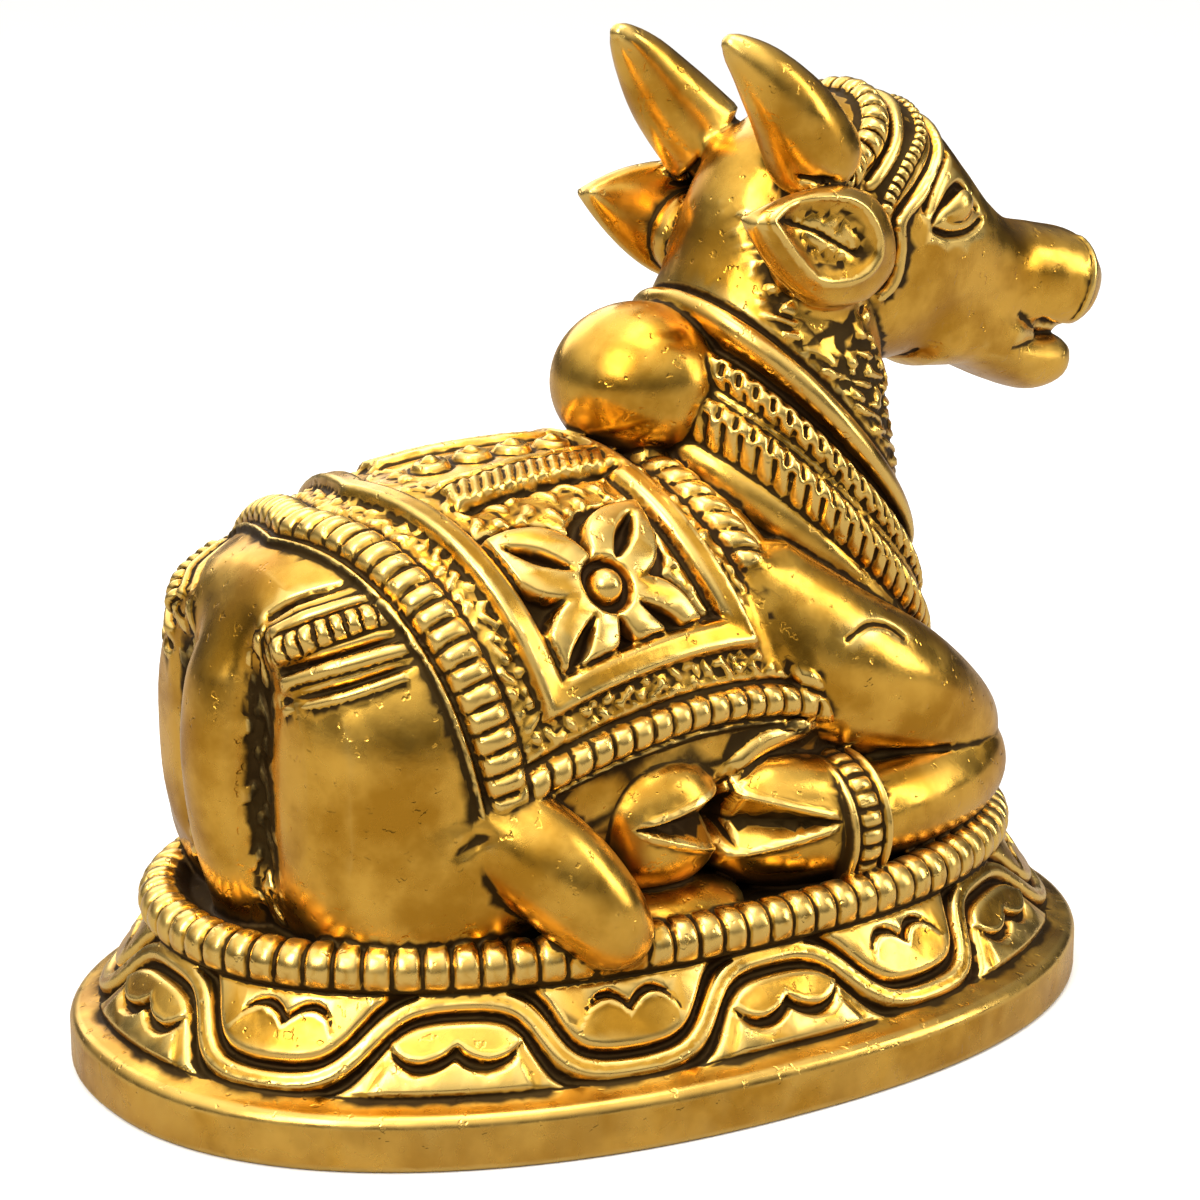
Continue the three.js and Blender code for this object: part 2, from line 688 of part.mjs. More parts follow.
// Shoulder, folded foreleg, anklet and fore hoof
function foreLeg(side) {
  const upper = [[8, 15, 26], [16, 17.4, 20.5], [26, 18.2, 16], [35, 16.2, 10.5], [39.4, 14.8, 8]];
  const upperSizes = [[6, 9], [7, 9], [6.6, 7.6], [5.8, 6], [3, 3.4]];
  const lower = [[15, 22.6, 5.4], [22, 21.8, 5.6], [30, 19.4, 6], [36.4, 16.4, 7], [40.6, 14.2, 7.6]];
  const lowerSizes = [[5, 5], [5.6, 5.4], [6, 5.8], [5.6, 5.8], [2.8, 3.2]];
  const anklet = [[13.2, 23, 5.4], [14.2, 22.9, 5.4], [17.8, 22.7, 5.4], [18.8, 22.6, 5.4]];
  const ankletSizes = [[6.1, 5.9], [7.2, 7], [7.2, 7], [6.1, 5.9]];
  return [
    bar(sided(side, upper), upperSizes, 9),
    bar(sided(side, lower), lowerSizes, 9),
    bar(sided(side, anklet), ankletSizes, 10),
    lump(at(6.3, side * 21.8, 7.3), [7.5, 5.5, 7.1], 2.3, 8, 12),
  ];
}

// Tail: a fat roll down the middle of the rump
function tail() {
  const path = [
    [-33, 31], [-36.4, 30.4], [-38.8, 28.2], [-40.8, 23.4],
    [-41.6, 17], [-40.8, 9], [-39, 2.4], [-38, -2],
  ];
  const rings = path.map(([x, z], i) => {
    const before = path[Math.max(i - 1, 0)];
    const after = path[Math.min(i + 1, path.length - 1)];
    const along = V(after[0] - before[0], 0, after[1] - before[1]).normalize();
    const out = V(along.z, 0, -along.x);
    const size = Math.min(1, 0.55 + i * 0.25) * U;
    return oval(at(x, -0.4, z), out, V(0, 1, 0), 4.4 * size, 5.2 * size, 2.2, 8);
  });
  return loft(rings);
}

// Hump behind the collar
function hump() {
  return lump(at(6.2, 0, 47.8), [9, 9, 8.2], 2, 7, 13);
}

// The whole casting: everything raised is joined, then ears, nostrils and clefts
function casting() {
  const sides = [-1, 1];
  const raised = joined([
    plinth(), ribbon(), ...steps(PETAL_PAIRS * 2).map(lobe),
    trunk(), ...sides.map(footRope), ...sides.map(frameFoot), ...sides.flatMap(flower),
    neck(), ...head(), headBand(0.24, 1.3), headBand(0.31, 1.2), hump(), tail(),
    ...sides.flatMap(horn), ...sides.map(eye), ...sides.flatMap(hindLeg), ...sides.flatMap(foreLeg),
  ]);
  const eared = sides.reduce((whole, side) => whole.add(ear(side)), raised);
  const hollows = joined(sides.flatMap((side) => [nostril(side), ...clefts(side)]));
  return eared.subtract(hollows);
}

// Mesh with merged points from the joined solid
function meshOf(whole) {
  const { numProp, vertProperties, triVerts } = whole.getMesh();
  const geometry = new THREE.BufferGeometry();
  const positions = [];
  for (let i = 0; i < vertProperties.length; i += numProp) {
    positions.push(vertProperties[i], vertProperties[i + 1], vertProperties[i + 2]);
  }
  geometry.setAttribute('position', new THREE.Float32BufferAttribute(positions, 3));
  geometry.setIndex([...triVerts]);
  geometry.computeVertexNormals();
  return geometry;
}

const brass = new THREE.MeshStandardMaterial({ color: 0xc28a2c, roughness: 0.32, metalness: 1 });
const figure = new THREE.Mesh(meshOf(casting()), brass);
figure.name = 'nandi_bull';

const part = new THREE.Group();
part.name = 'nandi_bull_figure';
part.add(figure);

export default part;
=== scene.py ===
# Reclining nandi bull in antique brass on an oval plinth, one casting
import math

import bpy
import numpy as np
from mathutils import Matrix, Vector
from mathutils.bvhtree import BVHTree
from mathutils.kdtree import KDTree


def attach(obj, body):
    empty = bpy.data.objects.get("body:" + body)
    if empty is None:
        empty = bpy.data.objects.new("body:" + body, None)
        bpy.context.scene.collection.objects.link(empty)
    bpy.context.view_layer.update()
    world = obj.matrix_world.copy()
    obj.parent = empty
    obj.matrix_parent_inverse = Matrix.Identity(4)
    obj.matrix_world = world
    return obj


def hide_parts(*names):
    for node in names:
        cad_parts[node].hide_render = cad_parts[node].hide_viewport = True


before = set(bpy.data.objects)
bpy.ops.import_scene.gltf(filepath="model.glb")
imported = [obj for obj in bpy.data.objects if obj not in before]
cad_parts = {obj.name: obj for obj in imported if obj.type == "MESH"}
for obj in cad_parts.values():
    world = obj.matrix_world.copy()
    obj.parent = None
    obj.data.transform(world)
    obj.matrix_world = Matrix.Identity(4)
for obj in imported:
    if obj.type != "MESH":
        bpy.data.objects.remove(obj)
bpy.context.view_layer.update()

MM = 0.001
VOXEL = 0.22
FACE_LIMIT = 190000
RAYS = 16
RAY_SEED = 7
RAY_REACH = 14.0

CAMERA_PLACE = (-0.16607, -0.24858, 0.11993)
CAMERA_DOWN, CAMERA_YAW = 14.504, 34
CAMERA_LENS, CAMERA_SENSOR = 90, 36
ROOM_GLOW = 1.12
FLOOR_SIZE = 6
FLOOR_SEEN = (0.9, 0.9, 0.9, 1)
FLOOR_MIRRORED = (0.32, 0.3, 0.27, 1)


# Room light: white where the camera looks; for the metal to mirror, bright overhead and on the left,
# dim below and on the right
def lights(tree):
    back = tree.nodes["Background"]
    place = tree.nodes.new("ShaderNodeTexCoord").outputs["Generated"]
    apart = tree.nodes.new("ShaderNodeSeparateXYZ")
    tree.links.new(place, apart.inputs[0])
    high = ramp(tree, apart.outputs["Z"], 0.08, 0.95, 0.06, 0.9)
    across = ramp(tree, apart.outputs["X"], 0.15, 0.75, 1.7, 0.55)
    high = calc(tree, "MULTIPLY", high, across)
    seen = tree.nodes.new("ShaderNodeLightPath").outputs["Is Glossy Ray"]
    strength = tree.nodes.new("ShaderNodeMix")
    tree.links.new(seen, strength.inputs[0])
    strength.inputs[2].default_value = ROOM_GLOW
    tree.links.new(high, strength.inputs[3])
    tree.links.new(strength.outputs[0], back.inputs["Strength"])
    back.inputs["Color"].default_value = (1, 0.99, 0.97, 1)


# Floor paper: white to the camera, greyer in what the metal mirrors
def pale_floor():
    made = bpy.data.materials.new("pale_floor")
    made.use_nodes = True
    tree = made.node_tree
    shader = tree.nodes["Principled BSDF"]
    seen = tree.nodes.new("ShaderNodeLightPath").outputs["Is Camera Ray"]
    white = blend_colour(tree, seen, FLOOR_MIRRORED, FLOOR_SEEN)
    tree.links.new(white, shader.inputs["Base Color"])
    shader.inputs["Roughness"].default_value = 0.9
    return made


# Camera, floor and lamps
def studio():
    bpy.ops.object.camera_add(location=CAMERA_PLACE,
                              rotation=(math.radians(90 - CAMERA_DOWN), 0, math.radians(-CAMERA_YAW)))
    camera = bpy.context.object
    camera.name = "photo_camera"
    camera.data.lens = CAMERA_LENS
    camera.data.sensor_width = CAMERA_SENSOR
    camera.data.clip_start = 0.01
    camera.data.clip_end = 20
    bpy.context.scene.camera = camera

    bpy.ops.mesh.primitive_plane_add(size=FLOOR_SIZE, location=(0, 0, 0))
    floor = bpy.context.object
    floor.name = "studio_floor"
    floor.data.materials.append(pale_floor())

    world = bpy.data.worlds.new("soft_room")
    world.use_nodes = True
    lights(world.node_tree)
    bpy.context.scene.world = world
    bpy.context.scene.view_settings.view_transform = "Standard"

    for name, place, aim, size, power in [
        ("window_left", (-0.55, -0.25, 0.55), (0, 0, 0.05), (0.35, 0.5), 3.4),
        ("window_top", (0.05, -0.1, 0.85), (0, 0, 0.05), (0.5, 0.4), 2.4),
        ("window_right", (0.6, -0.45, 0.35), (0.02, 0, 0.05), (0.2, 0.5), 1.9),
        ("window_back", (0.1, 0.7, 0.4), (0, 0, 0.05), (0.6, 0.4), 1.3),
    ]:
        bpy.ops.object.light_add(type="AREA", location=place)
        lamp = bpy.context.object
        lamp.name = name
        lamp.data.shape = "RECTANGLE"
        lamp.data.size, lamp.data.size_y = size
        lamp.data.energy = power
        lamp.rotation_mode = "QUATERNION"
        lamp.rotation_quaternion = (Vector(aim) - Vector(place)).to_track_quat("-Z", "Y")


# Small tools for numbers
def bend(v, p):
    return np.sign(v) * np.abs(v) ** p


def mix(a, b, t):
    return a + (b - a) * t


def smooth(low, high, v):
    t = np.clip((v - low) / (high - low), 0, 1)
    return t * t * (3 - 2 * t)


def dome(v):
    return np.sqrt(np.clip(1 - v * v, 0, None))


def bell(v, width):
    return np.exp(-(v / width) ** 2)


def smooth_row(rows, t):
    rows = np.asarray(rows, float)
    last = len(rows) - 1
    s = np.clip(np.asarray(t, float), 0, 1) * last
    i = np.minimum(np.floor(s).astype(int), last - 1)
    f = (s - i)[..., None]
    a, b, c, d = (rows[np.clip(i + k, 0, last)] for k in (-1, 0, 1, 2))
    return ((2 * f - 3) * f * f + 1) * b + ((f - 2) * f + 1) * f * (c - a) / 2 \
        + (3 - 2 * f) * f * f * c + (f - 1) * f * f * (d - b) / 2


def row_at(rows, x):
    rows = np.asarray(rows, float)
    marks = rows[:, 0]
    i = np.clip(np.searchsorted(marks, x, side="right") - 1, 0, len(rows) - 2)
    f = np.clip((x - marks[i]) / (marks[i + 1] - marks[i]), 0, 1)
    return smooth_row(rows, (i + f) / (len(rows) - 1))


def unit(v):
    return v / np.maximum(np.linalg.norm(v, axis=-1, keepdims=True), 1e-9)


# Gathers closed skins, in millimetres, into one heap of triangles, with the grime on each point: patina in
# the cuts, and painted shade on the deck
class Heap:
    def __init__(self):
        self.points, self.faces, self.grime, self.count = [], [], [], 0

    def add(self, points, faces, grime=None):
        a, b, c = (points[faces[:, k]] for k in range(3))
        volume = np.einsum("ij,ij->i", a, np.cross(b, c)).sum()
        if volume < 0:
            faces = faces[:, ::-1]
        self.points.append(points)
        self.faces.append(faces + self.count)
        self.grime.append(np.zeros(len(points)) if grime is None else grime)
        self.count += len(points)

    def rings(self, rings, grime=None):
        rings = np.asarray(rings, float)
        rows, n, _ = rings.shape
        points = rings.reshape(-1, 3)
        grime = None if grime is None else np.asarray(grime, float).ravel()
        r = np.arange(rows - 1)[:, None]
        j = np.arange(n)[None]
        a, b = r * n + j, r * n + (j + 1) % n
        c, d = (r + 1) * n + j, (r + 1) * n + (j + 1) % n
        faces = [np.stack([a, b, d], -1).reshape(-1, 3), np.stack([a, d, c], -1).reshape(-1, 3)]
        # a fan closes each end
        points = np.vstack([points, rings[0].mean(0), rings[-1].mean(0)])
        grime = None if grime is None else np.append(grime, [0, 0])
        j = j[0]
        k = (j + 1) % n
        first, last = rows * n, rows * n + 1
        top = (rows - 1) * n
        faces.append(np.stack([np.full(n, first), k, j], -1))
        faces.append(np.stack([np.full(n, last), top + j, top + k], -1))
        self.add(points, np.vstack(faces), grime)


heap = Heap()


def oval(mid, across, up, half_across, half_up, power, count):
    a = np.arange(count) / count * 2 * math.pi
    c, s = bend(np.cos(a), 2 / power)[:, None], bend(np.sin(a), 2 / power)[:, None]
    return mid + half_across * c * across + half_up * s * up


def cap(ring, out, far):
    mid = ring.mean(0)
    return [mid + (ring - mid) * math.cos(q) + out * math.sin(q)
            * np.linalg.norm(ring - mid, axis=1).mean() * far for q in (0.5, 1.0, 1.4)]


# Rounded bar along a smooth path; sizes are half width and half height, blunt is how far its start bulges
def bar(path, sizes, count=72, power=2.0, steps=60, blunt=0.6):
    path, sizes = np.asarray(path, float), np.asarray(sizes, float)
    t = np.linspace(0, 1, steps)
    spots, halves = smooth_row(path, t), smooth_row(sizes, t)
    along = unit(np.gradient(spots, axis=0))
    rings = []
    for p, h, a in zip(spots, halves, along):
        side = unit(np.cross(a, [0, 0, 1]))
        up = unit(np.cross(side, a))
        rings.append(oval(p, side, up, max(h[0], 0.05), max(h[1], 0.05), power, count))
    start, end = cap(rings[0], -along[0], blunt), cap(rings[-1], along[-1], 0.6)
    heap.rings(start[::-1] + rings + end)


# Rounded lump made from a ball primitive
def lump(mid, half, power=2.0):
    bpy.ops.mesh.primitive_uv_sphere_add(segments=96, ring_count=64, radius=1)
    ball = bpy.context.object
    co = np.empty(len(ball.data.vertices) * 3)
    ball.data.vertices.foreach_get("co", co)
    co = co.reshape(-1, 3)
    if power != 2.0:
        r = (np.abs(co) ** power).sum(1, keepdims=True) ** (1 / power)
        co = co / r
    co = co * np.asarray(half, float) + np.asarray(mid, float)
    ball.data.calc_loop_triangles()
    faces = np.empty(len(ball.data.loop_triangles) * 3, np.int32)
    ball.data.loop_triangles.foreach_get("vertices", faces)
    heap.add(co, faces.reshape(-1, 3))
    bpy.data.objects.remove(ball, do_unlink=True)


# Plinth
FOOT_LENGTH, FOOT_WIDTH = 112.0, 78.0
RIM, RIM_Z = 1.3, 4.2
LEDGE, LEDGE_Z = 2.9, 6.0
SKIRT_INSET, SKIRT_RISE = 5.9, 8.1
RING_SPOT, RING_RADIUS, RING_Z = 9.5, 2.4, 16.4
DECK = 17.0
OVAL_POWER, OVAL_TAPER = 2.23, 0.045
SKIRT_SLANT = math.hypot(SKIRT_RISE, SKIRT_INSET)
SKIRT_GIRTH = 270.0
PETAL_PAIRS = 8
RIBBON_STEEP = 1.7
RING_BEADS, RING_PITCH = 92, 2.6
ROUND = 1500


def plinth_oval(inset, count=ROUND):
    a, b = FOOT_LENGTH / 2 - inset, FOOT_WIDTH / 2 - inset
    t = np.arange(4096) / 4096 * 2 * math.pi
    x = a * bend(np.cos(t), 2 / OVAL_POWER)
    y = b * bend(np.sin(t), 2 / OVAL_POWER)
    y = y * (1 + OVAL_TAPER * x / a)
    p = np.stack([x, y], 1)
    gap = np.linalg.norm(np.roll(p, -1, 0) - p, axis=1)
    run = np.concatenate([[0], np.cumsum(gap)])
    goal = np.arange(count) / count * run[-1]
    wrap = np.vstack([p, p[:1]])
    return np.stack([np.interp(goal, run, wrap[:, k]) for k in (0, 1)], 1)


def outward(ring):
    return unit(np.column_stack([np.roll(ring[:, 1], -1) - np.roll(ring[:, 1], 1),
                                 np.roll(ring[:, 0], 1) - np.roll(ring[:, 0], -1)]))


def petal_band(share, rise):
    """Lift and grime of the carved petals at a share of the way round and a height on the skirt."""
    tall = SKIRT_SLANT
    pitch = SKIRT_GIRTH / PETAL_PAIRS
    phase = share * PETAL_PAIRS
    x_arch = (phase - np.round(phase)) * pitch
    x_cup = (phase + 0.5 - np.round(phase + 0.5)) * pitch
    wave = np.cos(2 * math.pi * phase)
    steep = RIBBON_STEEP
    line = tall * (0.52 + 0.4 * np.tanh(steep * wave) / math.tanh(steep))
    slope = -tall * 0.4 * steep / math.tanh(steep) * (1 - np.tanh(steep * wave) ** 2) \
        * np.sin(2 * math.pi * phase) * 2 * math.pi / pitch
    away = (rise - line) / np.sqrt(1 + slope ** 2)
    # ribbon with a groove on each side
    lift = 0.75 * dome(np.clip(away / 1.05, -1, 1)) - 0.75 * bell(np.abs(away) - 1.45, 0.4)
    lift -= 0.3 * bell(away, 0.18)
    # plates below the ribbon in each arch and above it in each cup
    edge = np.abs(away) - 1.75
    lift += 0.75 * dome(1 - np.clip(edge / 1.1, 0, 1)) * (edge > 0)
    # double crescent that parts the round lobe from the stepped plate
    reach_x = np.clip(np.abs(x_arch) / 6.6, 0, 1)
    low_arcs = 5.0 - 1.7 * np.abs(np.sin(math.pi * reach_x)) ** 0.75 + 0.8 * reach_x ** 6
    low_on = smooth(6.9, 6.3, np.abs(x_arch)) * (away < -1.5)
    gap = low_arcs - rise
    lift -= low_on * smooth(-0.12, 0.12, gap) * smooth(1.5 - 0.9 * reach_x, 0.7 - 0.4 * reach_x, gap)
    lift += low_on * 0.2 * bell(gap + 0.35, 0.35)
    foot_plate = smooth(7.8, 7.0, np.abs(x_arch) + 0.45 * rise) * smooth(0.9, 1.5, gap) * (away < -1.5)
    lift = np.where(away < -1.5, lift - 0.35 * (1 - foot_plate) * smooth(0.3, 1.2, gap), lift)
    reach_x = np.clip(np.abs(x_cup) / 5.1, 0, 1)
    top_arcs = tall - 3.7 + 1.8 * np.abs(np.sin(math.pi * reach_x)) ** 0.75 - 0.5 * reach_x ** 6
    top_on = smooth(5.4, 4.9, np.abs(x_cup)) * (away > 1.5)
    gap = rise - top_arcs
    lift -= top_on * smooth(-0.12, 0.12, gap) * smooth(1.2 - 0.7 * reach_x, 0.6 - 0.3 * reach_x, gap)
    lift += top_on * 0.2 * bell(gap + 0.35, 0.35)
    fade = smooth(0, 0.7, rise) * smooth(tall, tall - 0.6, rise)
    rims = np.maximum(smooth(0.5, 0.1, rise), smooth(tall - 0.5, tall - 0.1, rise))
    dark = np.maximum(smooth(0.1, -0.2, lift), rims)
    return lift * fade, dark


def plinth():
    rings, grime = [], []

    def level(inset, z):
        ring = plinth_oval(inset)
        rings.append(np.column_stack([ring, np.full(len(ring), z)]))
        grime.append(np.zeros(len(ring)))

    # foot plate with its rounded rim and sloping ledge
    for inset, z in [(0.9, 0), (0.35, 0), (0.1, 0.25), (0, 0.7), (0, 1.6), (0, 2.6), (0, 3.6), (0, RIM_Z)]:
        level(inset, z)
    for q in np.linspace(0.15, math.pi / 2, 8):
        level(RIM * (1 - math.cos(q)), RIM_Z + RIM * math.sin(q))
    for t in np.linspace(0.15, 1, 8):
        level(mix(RIM, LEDGE, t), mix(RIM_Z + RIM, LEDGE_Z, t))
    # carved skirt
    share = np.arange(ROUND) / ROUND
    tall = SKIRT_SLANT
    for t in np.linspace(0.02, 1, 56):
        ring = plinth_oval(LEDGE + SKIRT_INSET * t)
        out = outward(ring)
        lift, dark = petal_band(share, np.full(ROUND, t * tall))
        lift = lift[:, None]
        grime.append(dark)
        ring = ring + out * lift * (SKIRT_RISE / tall)
        z = LEDGE_Z + SKIRT_RISE * t + lift[:, 0] * (SKIRT_INSET / tall)
        rings.append(np.column_stack([ring, z]))
    # rope ring round the deck
    along = (share * RING_BEADS) % 1
    edge = (0.5 - np.abs(along - 0.5)) * RING_PITCH
    shape = 1 - 0.32 * bell(edge, 0.28) - 0.05 * (2 * np.abs(along - 0.5)) ** 2
    for turn in np.linspace(-0.9, 2.5, 34):
        pinch = RING_RADIUS * mix(1, shape, smooth(-0.9, -0.2, turn) * smooth(2.5, 2.0, turn))
        base = plinth_oval(RING_SPOT)
        ring = base + outward(base) * (pinch * math.cos(turn))[:, None]
        rings.append(np.column_stack([ring, RING_Z + pinch * math.sin(turn)]))
        sides = smooth(-0.35, -0.9, turn) + smooth(1.9, 2.4, turn)
        grime.append(np.maximum(bell(edge, 0.24), sides).clip(0, 1))
    level(RING_SPOT + RING_RADIUS + 0.3, DECK)
    level(RING_SPOT + RING_RADIUS + 6, DECK)
    # painted shade: the deck inside the rope ring is darkened as though it lay in shadow
    grime[-1] += 0.8
    grime[-2] += 0.9
    heap.rings(rings, grime=grime)


# Trunk: upright rounded sections by place, half width, top and low point above the deck
TRUNK_ROWS = [
    [-42.4, 9, 26, 10], [-41.4, 15.5, 32, 4], [-39, 19.4, 35, -2], [-34.5, 22.4, 37.2, -4],
    [-28, 24, 39.4, -3], [-20, 24.4, 41, -2.4], [-12, 24.2, 41.8, -2.4], [-2, 23.6, 41.6, -2.4],
    [8, 22.6, 39.5, -2.4], [17, 21.2, 35, -2.4], [24, 19.2, 29, -2.4], [30, 16, 22, -2.4],
    [35.8, 10.6, 15, -2.4], [39.8, 4.2, 9, -2],
]


def trunk_section(x):
    half, top, low = row_at(TRUNK_ROWS, x)[:, 1:].T[:, :, None]
    mid = np.minimum(17, top - 5)
    a = np.linspace(math.pi / 2, -math.pi / 2, 241)[None]
    s, c = np.sin(a), np.cos(a)
    power = np.where(s > 0, 2.1, 3.2)
    reach = np.where(s > 0, top - mid, mid - low)
    y = half * np.abs(c) ** (2 / power)
    z = mid + reach * bend(s, 2 / power)
    run = np.concatenate([np.zeros((len(x), 1)), np.cumsum(np.hypot(np.diff(y), np.diff(z)), 1)], 1)
    return y, z, run


# Saddle cloth: its rear and front edges at the spine, and how far down it hangs at the rear and front
CLOTH_REAR, CLOTH_FRONT, REAR_SLANT = -33.4, 3.6, 8.2
CLOTH_DROP = (39.0, 33.0)


# Cloth place of a spot on the skin: distances in from the rear, front and foot edges, and the run down
# from the spine
def cloth_place(x, run):
    a = np.abs(run)
    share = np.full_like(x, 0.5)
    for _ in range(8):
        reach = mix(*CLOTH_DROP, share)
        down = np.minimum(a / reach, 1.25)
        rear = CLOTH_REAR + REAR_SLANT * down
        front = CLOTH_FRONT + 8.6 * down ** 1.6
        share = np.clip((x - rear) / (front - rear), 0, 1)
    u = (x - rear) / np.sqrt(1 + (REAR_SLANT / reach) ** 2)
    v = (front - x) / np.sqrt(1 + (13.8 * down ** 0.6 / reach) ** 2)
    return u, v, reach - a, a


def scroll(x, y, scale=1.0):
    """Curling raised pattern, from 0 to 1."""
    x, y = x * scale, y * scale
    w = np.sin(1.9 * x + 1.6 * np.sin(1.3 * y + 0.7)) + np.sin(2.3 * y + 1.8 * np.sin(1.1 * x + 2.0))
    w += 0.6 * np.sin(3.1 * x - 2.2 * y + 1.5 * np.sin(0.9 * y))
    return smooth(-0.15, 0.9, w * 0.6) * 0.8 + 0.2 * smooth(0.2, 1.0, np.abs(w))


def to_notch(along, pitch):
    """Distance to the nearest gap between two beads."""
    return (0.5 - np.abs(along / pitch % 1 - 0.5)) * pitch


def rope(d, half, along, pitch, tall, notch=0.26):
    """Lift of a beaded rope at a distance from its middle line."""
    frac = along / pitch % 1
    round_part = dome(d / half)
    beads = 1 - 0.62 * bell(to_notch(along, pitch), notch) - 0.1 * (2 * np.abs(frac - 0.5)) ** 2
    return tall * round_part * beads


FLOWER_MID = (-11.6, 22.5)
FLOWER_PETALS = [(0.632, 13.1), (2.314, 13.7), (3.71, 13.4), (5.44, 11.6)]


def cloth_lift(x, run):
    """Lift and grime of the saddle cloth."""
    u, v, w, a = cloth_place(x, run)
    d = np.minimum(np.minimum(u, v), w)
    foot = (w < u) & (w < v)
    front = (v <= u) & ~foot
    outer = np.where(foot, 2.3, np.where(front, 4.4, 3.1))
    half = np.where(foot, 1.5, 2.0)
    along = np.where(foot, x, a)
    pitch = np.where(foot, 2.35, 2.12)
    on = smooth(-outer - 0.25, -outer + 0.2, d)
    lift = 0.62 * on
    # plain border beyond the rope, with a groove on each side
    lift += 0.25 * on * smooth(-half - 0.2, -half - 0.6, d) * smooth(0, 0.4, d + outer)
    lift -= 0.7 * bell(d + half + 0.15, 0.34) * on
    lift += rope(d, half, along, pitch, 1.4) * on
    lift -= 0.6 * bell(d - half - 0.3, 0.36)
    # pitted strip
    strip = smooth(2.45, 2.7, d) * smooth(4.95, 4.7, d)
    lift += strip * (-0.25 + 0.5 * scroll(x, a, 1.6))
    lift -= 0.45 * bell(d - 4.95, 0.25)
    # plain frame with a raised rib along its outer side
    lift += 1.05 * dome(np.clip((d - 6.4) / 1.5, -1, 1)) ** 0.5 * (np.abs(d - 6.4) < 1.5)
    lift += 0.3 * bell(d - 5.6, 0.4)
    lift -= 0.4 * bell(d - 8.1, 0.4)
    # field
    field = smooth(7.9, 8.3, d)
    curls = scroll(x + 4, a, 1.1)
    lift += field * (-0.3 + 0.5 * curls * smooth(8.5, 9.2, d))
    # flower
    fx, fr = x - FLOWER_MID[0], a - FLOWER_MID[1]
    flower = np.zeros_like(x)
    clear = np.zeros_like(x)
    slots = np.zeros_like(x)
    for turn, length in FLOWER_PETALS:
        p = fx * math.cos(turn) + fr * math.sin(turn)
        q = np.abs(-fx * math.sin(turn) + fr * math.cos(turn))
        t = np.clip(p / length, 0, 1)
        wide = 3.9 * np.sin(math.pi * t ** 0.9) ** 0.9
        edge = wide - q
        live = (p > 0) & (p < length)
        tip = np.hypot(p - length, q)
        body = np.where(live, dome(1 - np.clip(edge / 0.55, 0, 1)), 0)
        slot = 0.8 * np.sin(math.pi * np.clip((t - 0.24) / 0.58, 0, 1))
        cut = smooth(-0.15, 0.4, slot - q) * (slot > 0.05)
        flower = np.maximum(flower, body * 2.2 - cut * 1.7)
        slots = np.maximum(slots, np.where(live, cut, 0))
        beside = np.where(live, smooth(-1.4, -0.9, edge), 0)
        clear = np.maximum(clear, np.maximum(beside, smooth(1.2, 0.8, tip)))
    rho = np.hypot(fx, fr)
    lift = np.where(field > 0, mix(lift, -0.25, clear * field), lift)
    lift += flower * field
    core = smooth(2.9, 2.5, rho)
    lift = mix(lift, 0.85, core)
    lift += np.where(rho < 1.75, np.sqrt(np.clip(3.06 - rho ** 2, 0, None)) * 1.1, 0)
    lift -= 0.35 * bell(rho - 2.1, 0.28)
    # spine strip with ribbed bars and eye bosses
    reach = smooth(-21.5, -21.0, x) * smooth(-2.0, -2.5, x)
    bar_mid = 7.3 + (x + 12) * -0.1
    q = a - bar_mid
    ribs = (x + 0.55 * q) / 1.35 % 1
    ribbed = smooth(1.8, 1.5, np.abs(q)) * (0.75 + 0.6 * np.sin(math.pi * ribs) ** 0.6)
    rail = 1.35 * dome(np.clip((q + 2.35) / 0.6, -1, 1))
    plain = smooth(0, 0.4, -q - 2.6)
    lift = mix(lift, np.maximum(ribbed, rail) + 0.25, reach * smooth(2.3, 1.9, q) * (1 - plain))
    lift = mix(lift, 0.55, reach * plain)
    lift -= reach * 0.8 * bell(q - 2.15, 0.4)
    for k in range(4):
        far = np.hypot(x + 18.4 - 4.7 * k, a)
        boss = 1.2 * dome(np.clip(far / 1.9, 0, 1))
        lift += reach * (boss - 0.5 * bell(far - 1.0, 0.3) - 0.3 * bell(far - 2.2, 0.3))
    # grime in the low parts, between the beads and in the flower
    low_parts = smooth(0.4, 0.15, lift) * np.where(clear > 0.5, 1, 0.8)
    notch = bell(to_notch(along, pitch), 0.24) * (np.abs(d) < half)
    flower_cuts = np.maximum(slots * field, bell(rho - 2.1, 0.3))
    dark = np.maximum(low_parts, np.maximum(notch, flower_cuts)) * on
    dark = np.maximum(dark, bell(d + outer + 0.1, 0.4) * 0.9)
    return lift * on, dark


def trunk():
    x = np.concatenate([np.linspace(-42.4, -38, 36, endpoint=False), np.linspace(-38, 39.6, 330)])
    y, z, run = trunk_section(x)
    side = 270
    g = np.linspace(0, 1, side + 1)
    py, pz, pr = (np.empty((len(x), side + 1)) for _ in range(3))
    for i in range(len(x)):
        goal = g * run[i, -1]
        py[i], pz[i], pr[i] = np.interp(goal, run[i], y[i]), np.interp(goal, run[i], z[i]), goal
    near = np.stack([np.repeat(x[:, None], side + 1, 1), -py, pz], -1)
    far = near[:, -2:0:-1] * [1, -1, 1]
    skin = np.concatenate([near, far], 1)
    runs = np.concatenate([pr, -pr[:, -2:0:-1]], 1)
    dx = np.gradient(skin, axis=0)
    dr = np.roll(skin, -1, 1) - np.roll(skin, 1, 1)
    normal = unit(np.cross(dr, dx))
    away = skin - np.array([0, 0, 15.0])
    away[..., 0] = 0
    flip = np.sign((normal * away).sum(-1, keepdims=True))
    normal = normal * np.where(flip == 0, 1, flip)
    lift, dark = cloth_lift(skin[..., 0], runs)
    skin = skin + normal * lift[..., None] + [0, 0, DECK]
    heap.rings(skin, grime=dark)


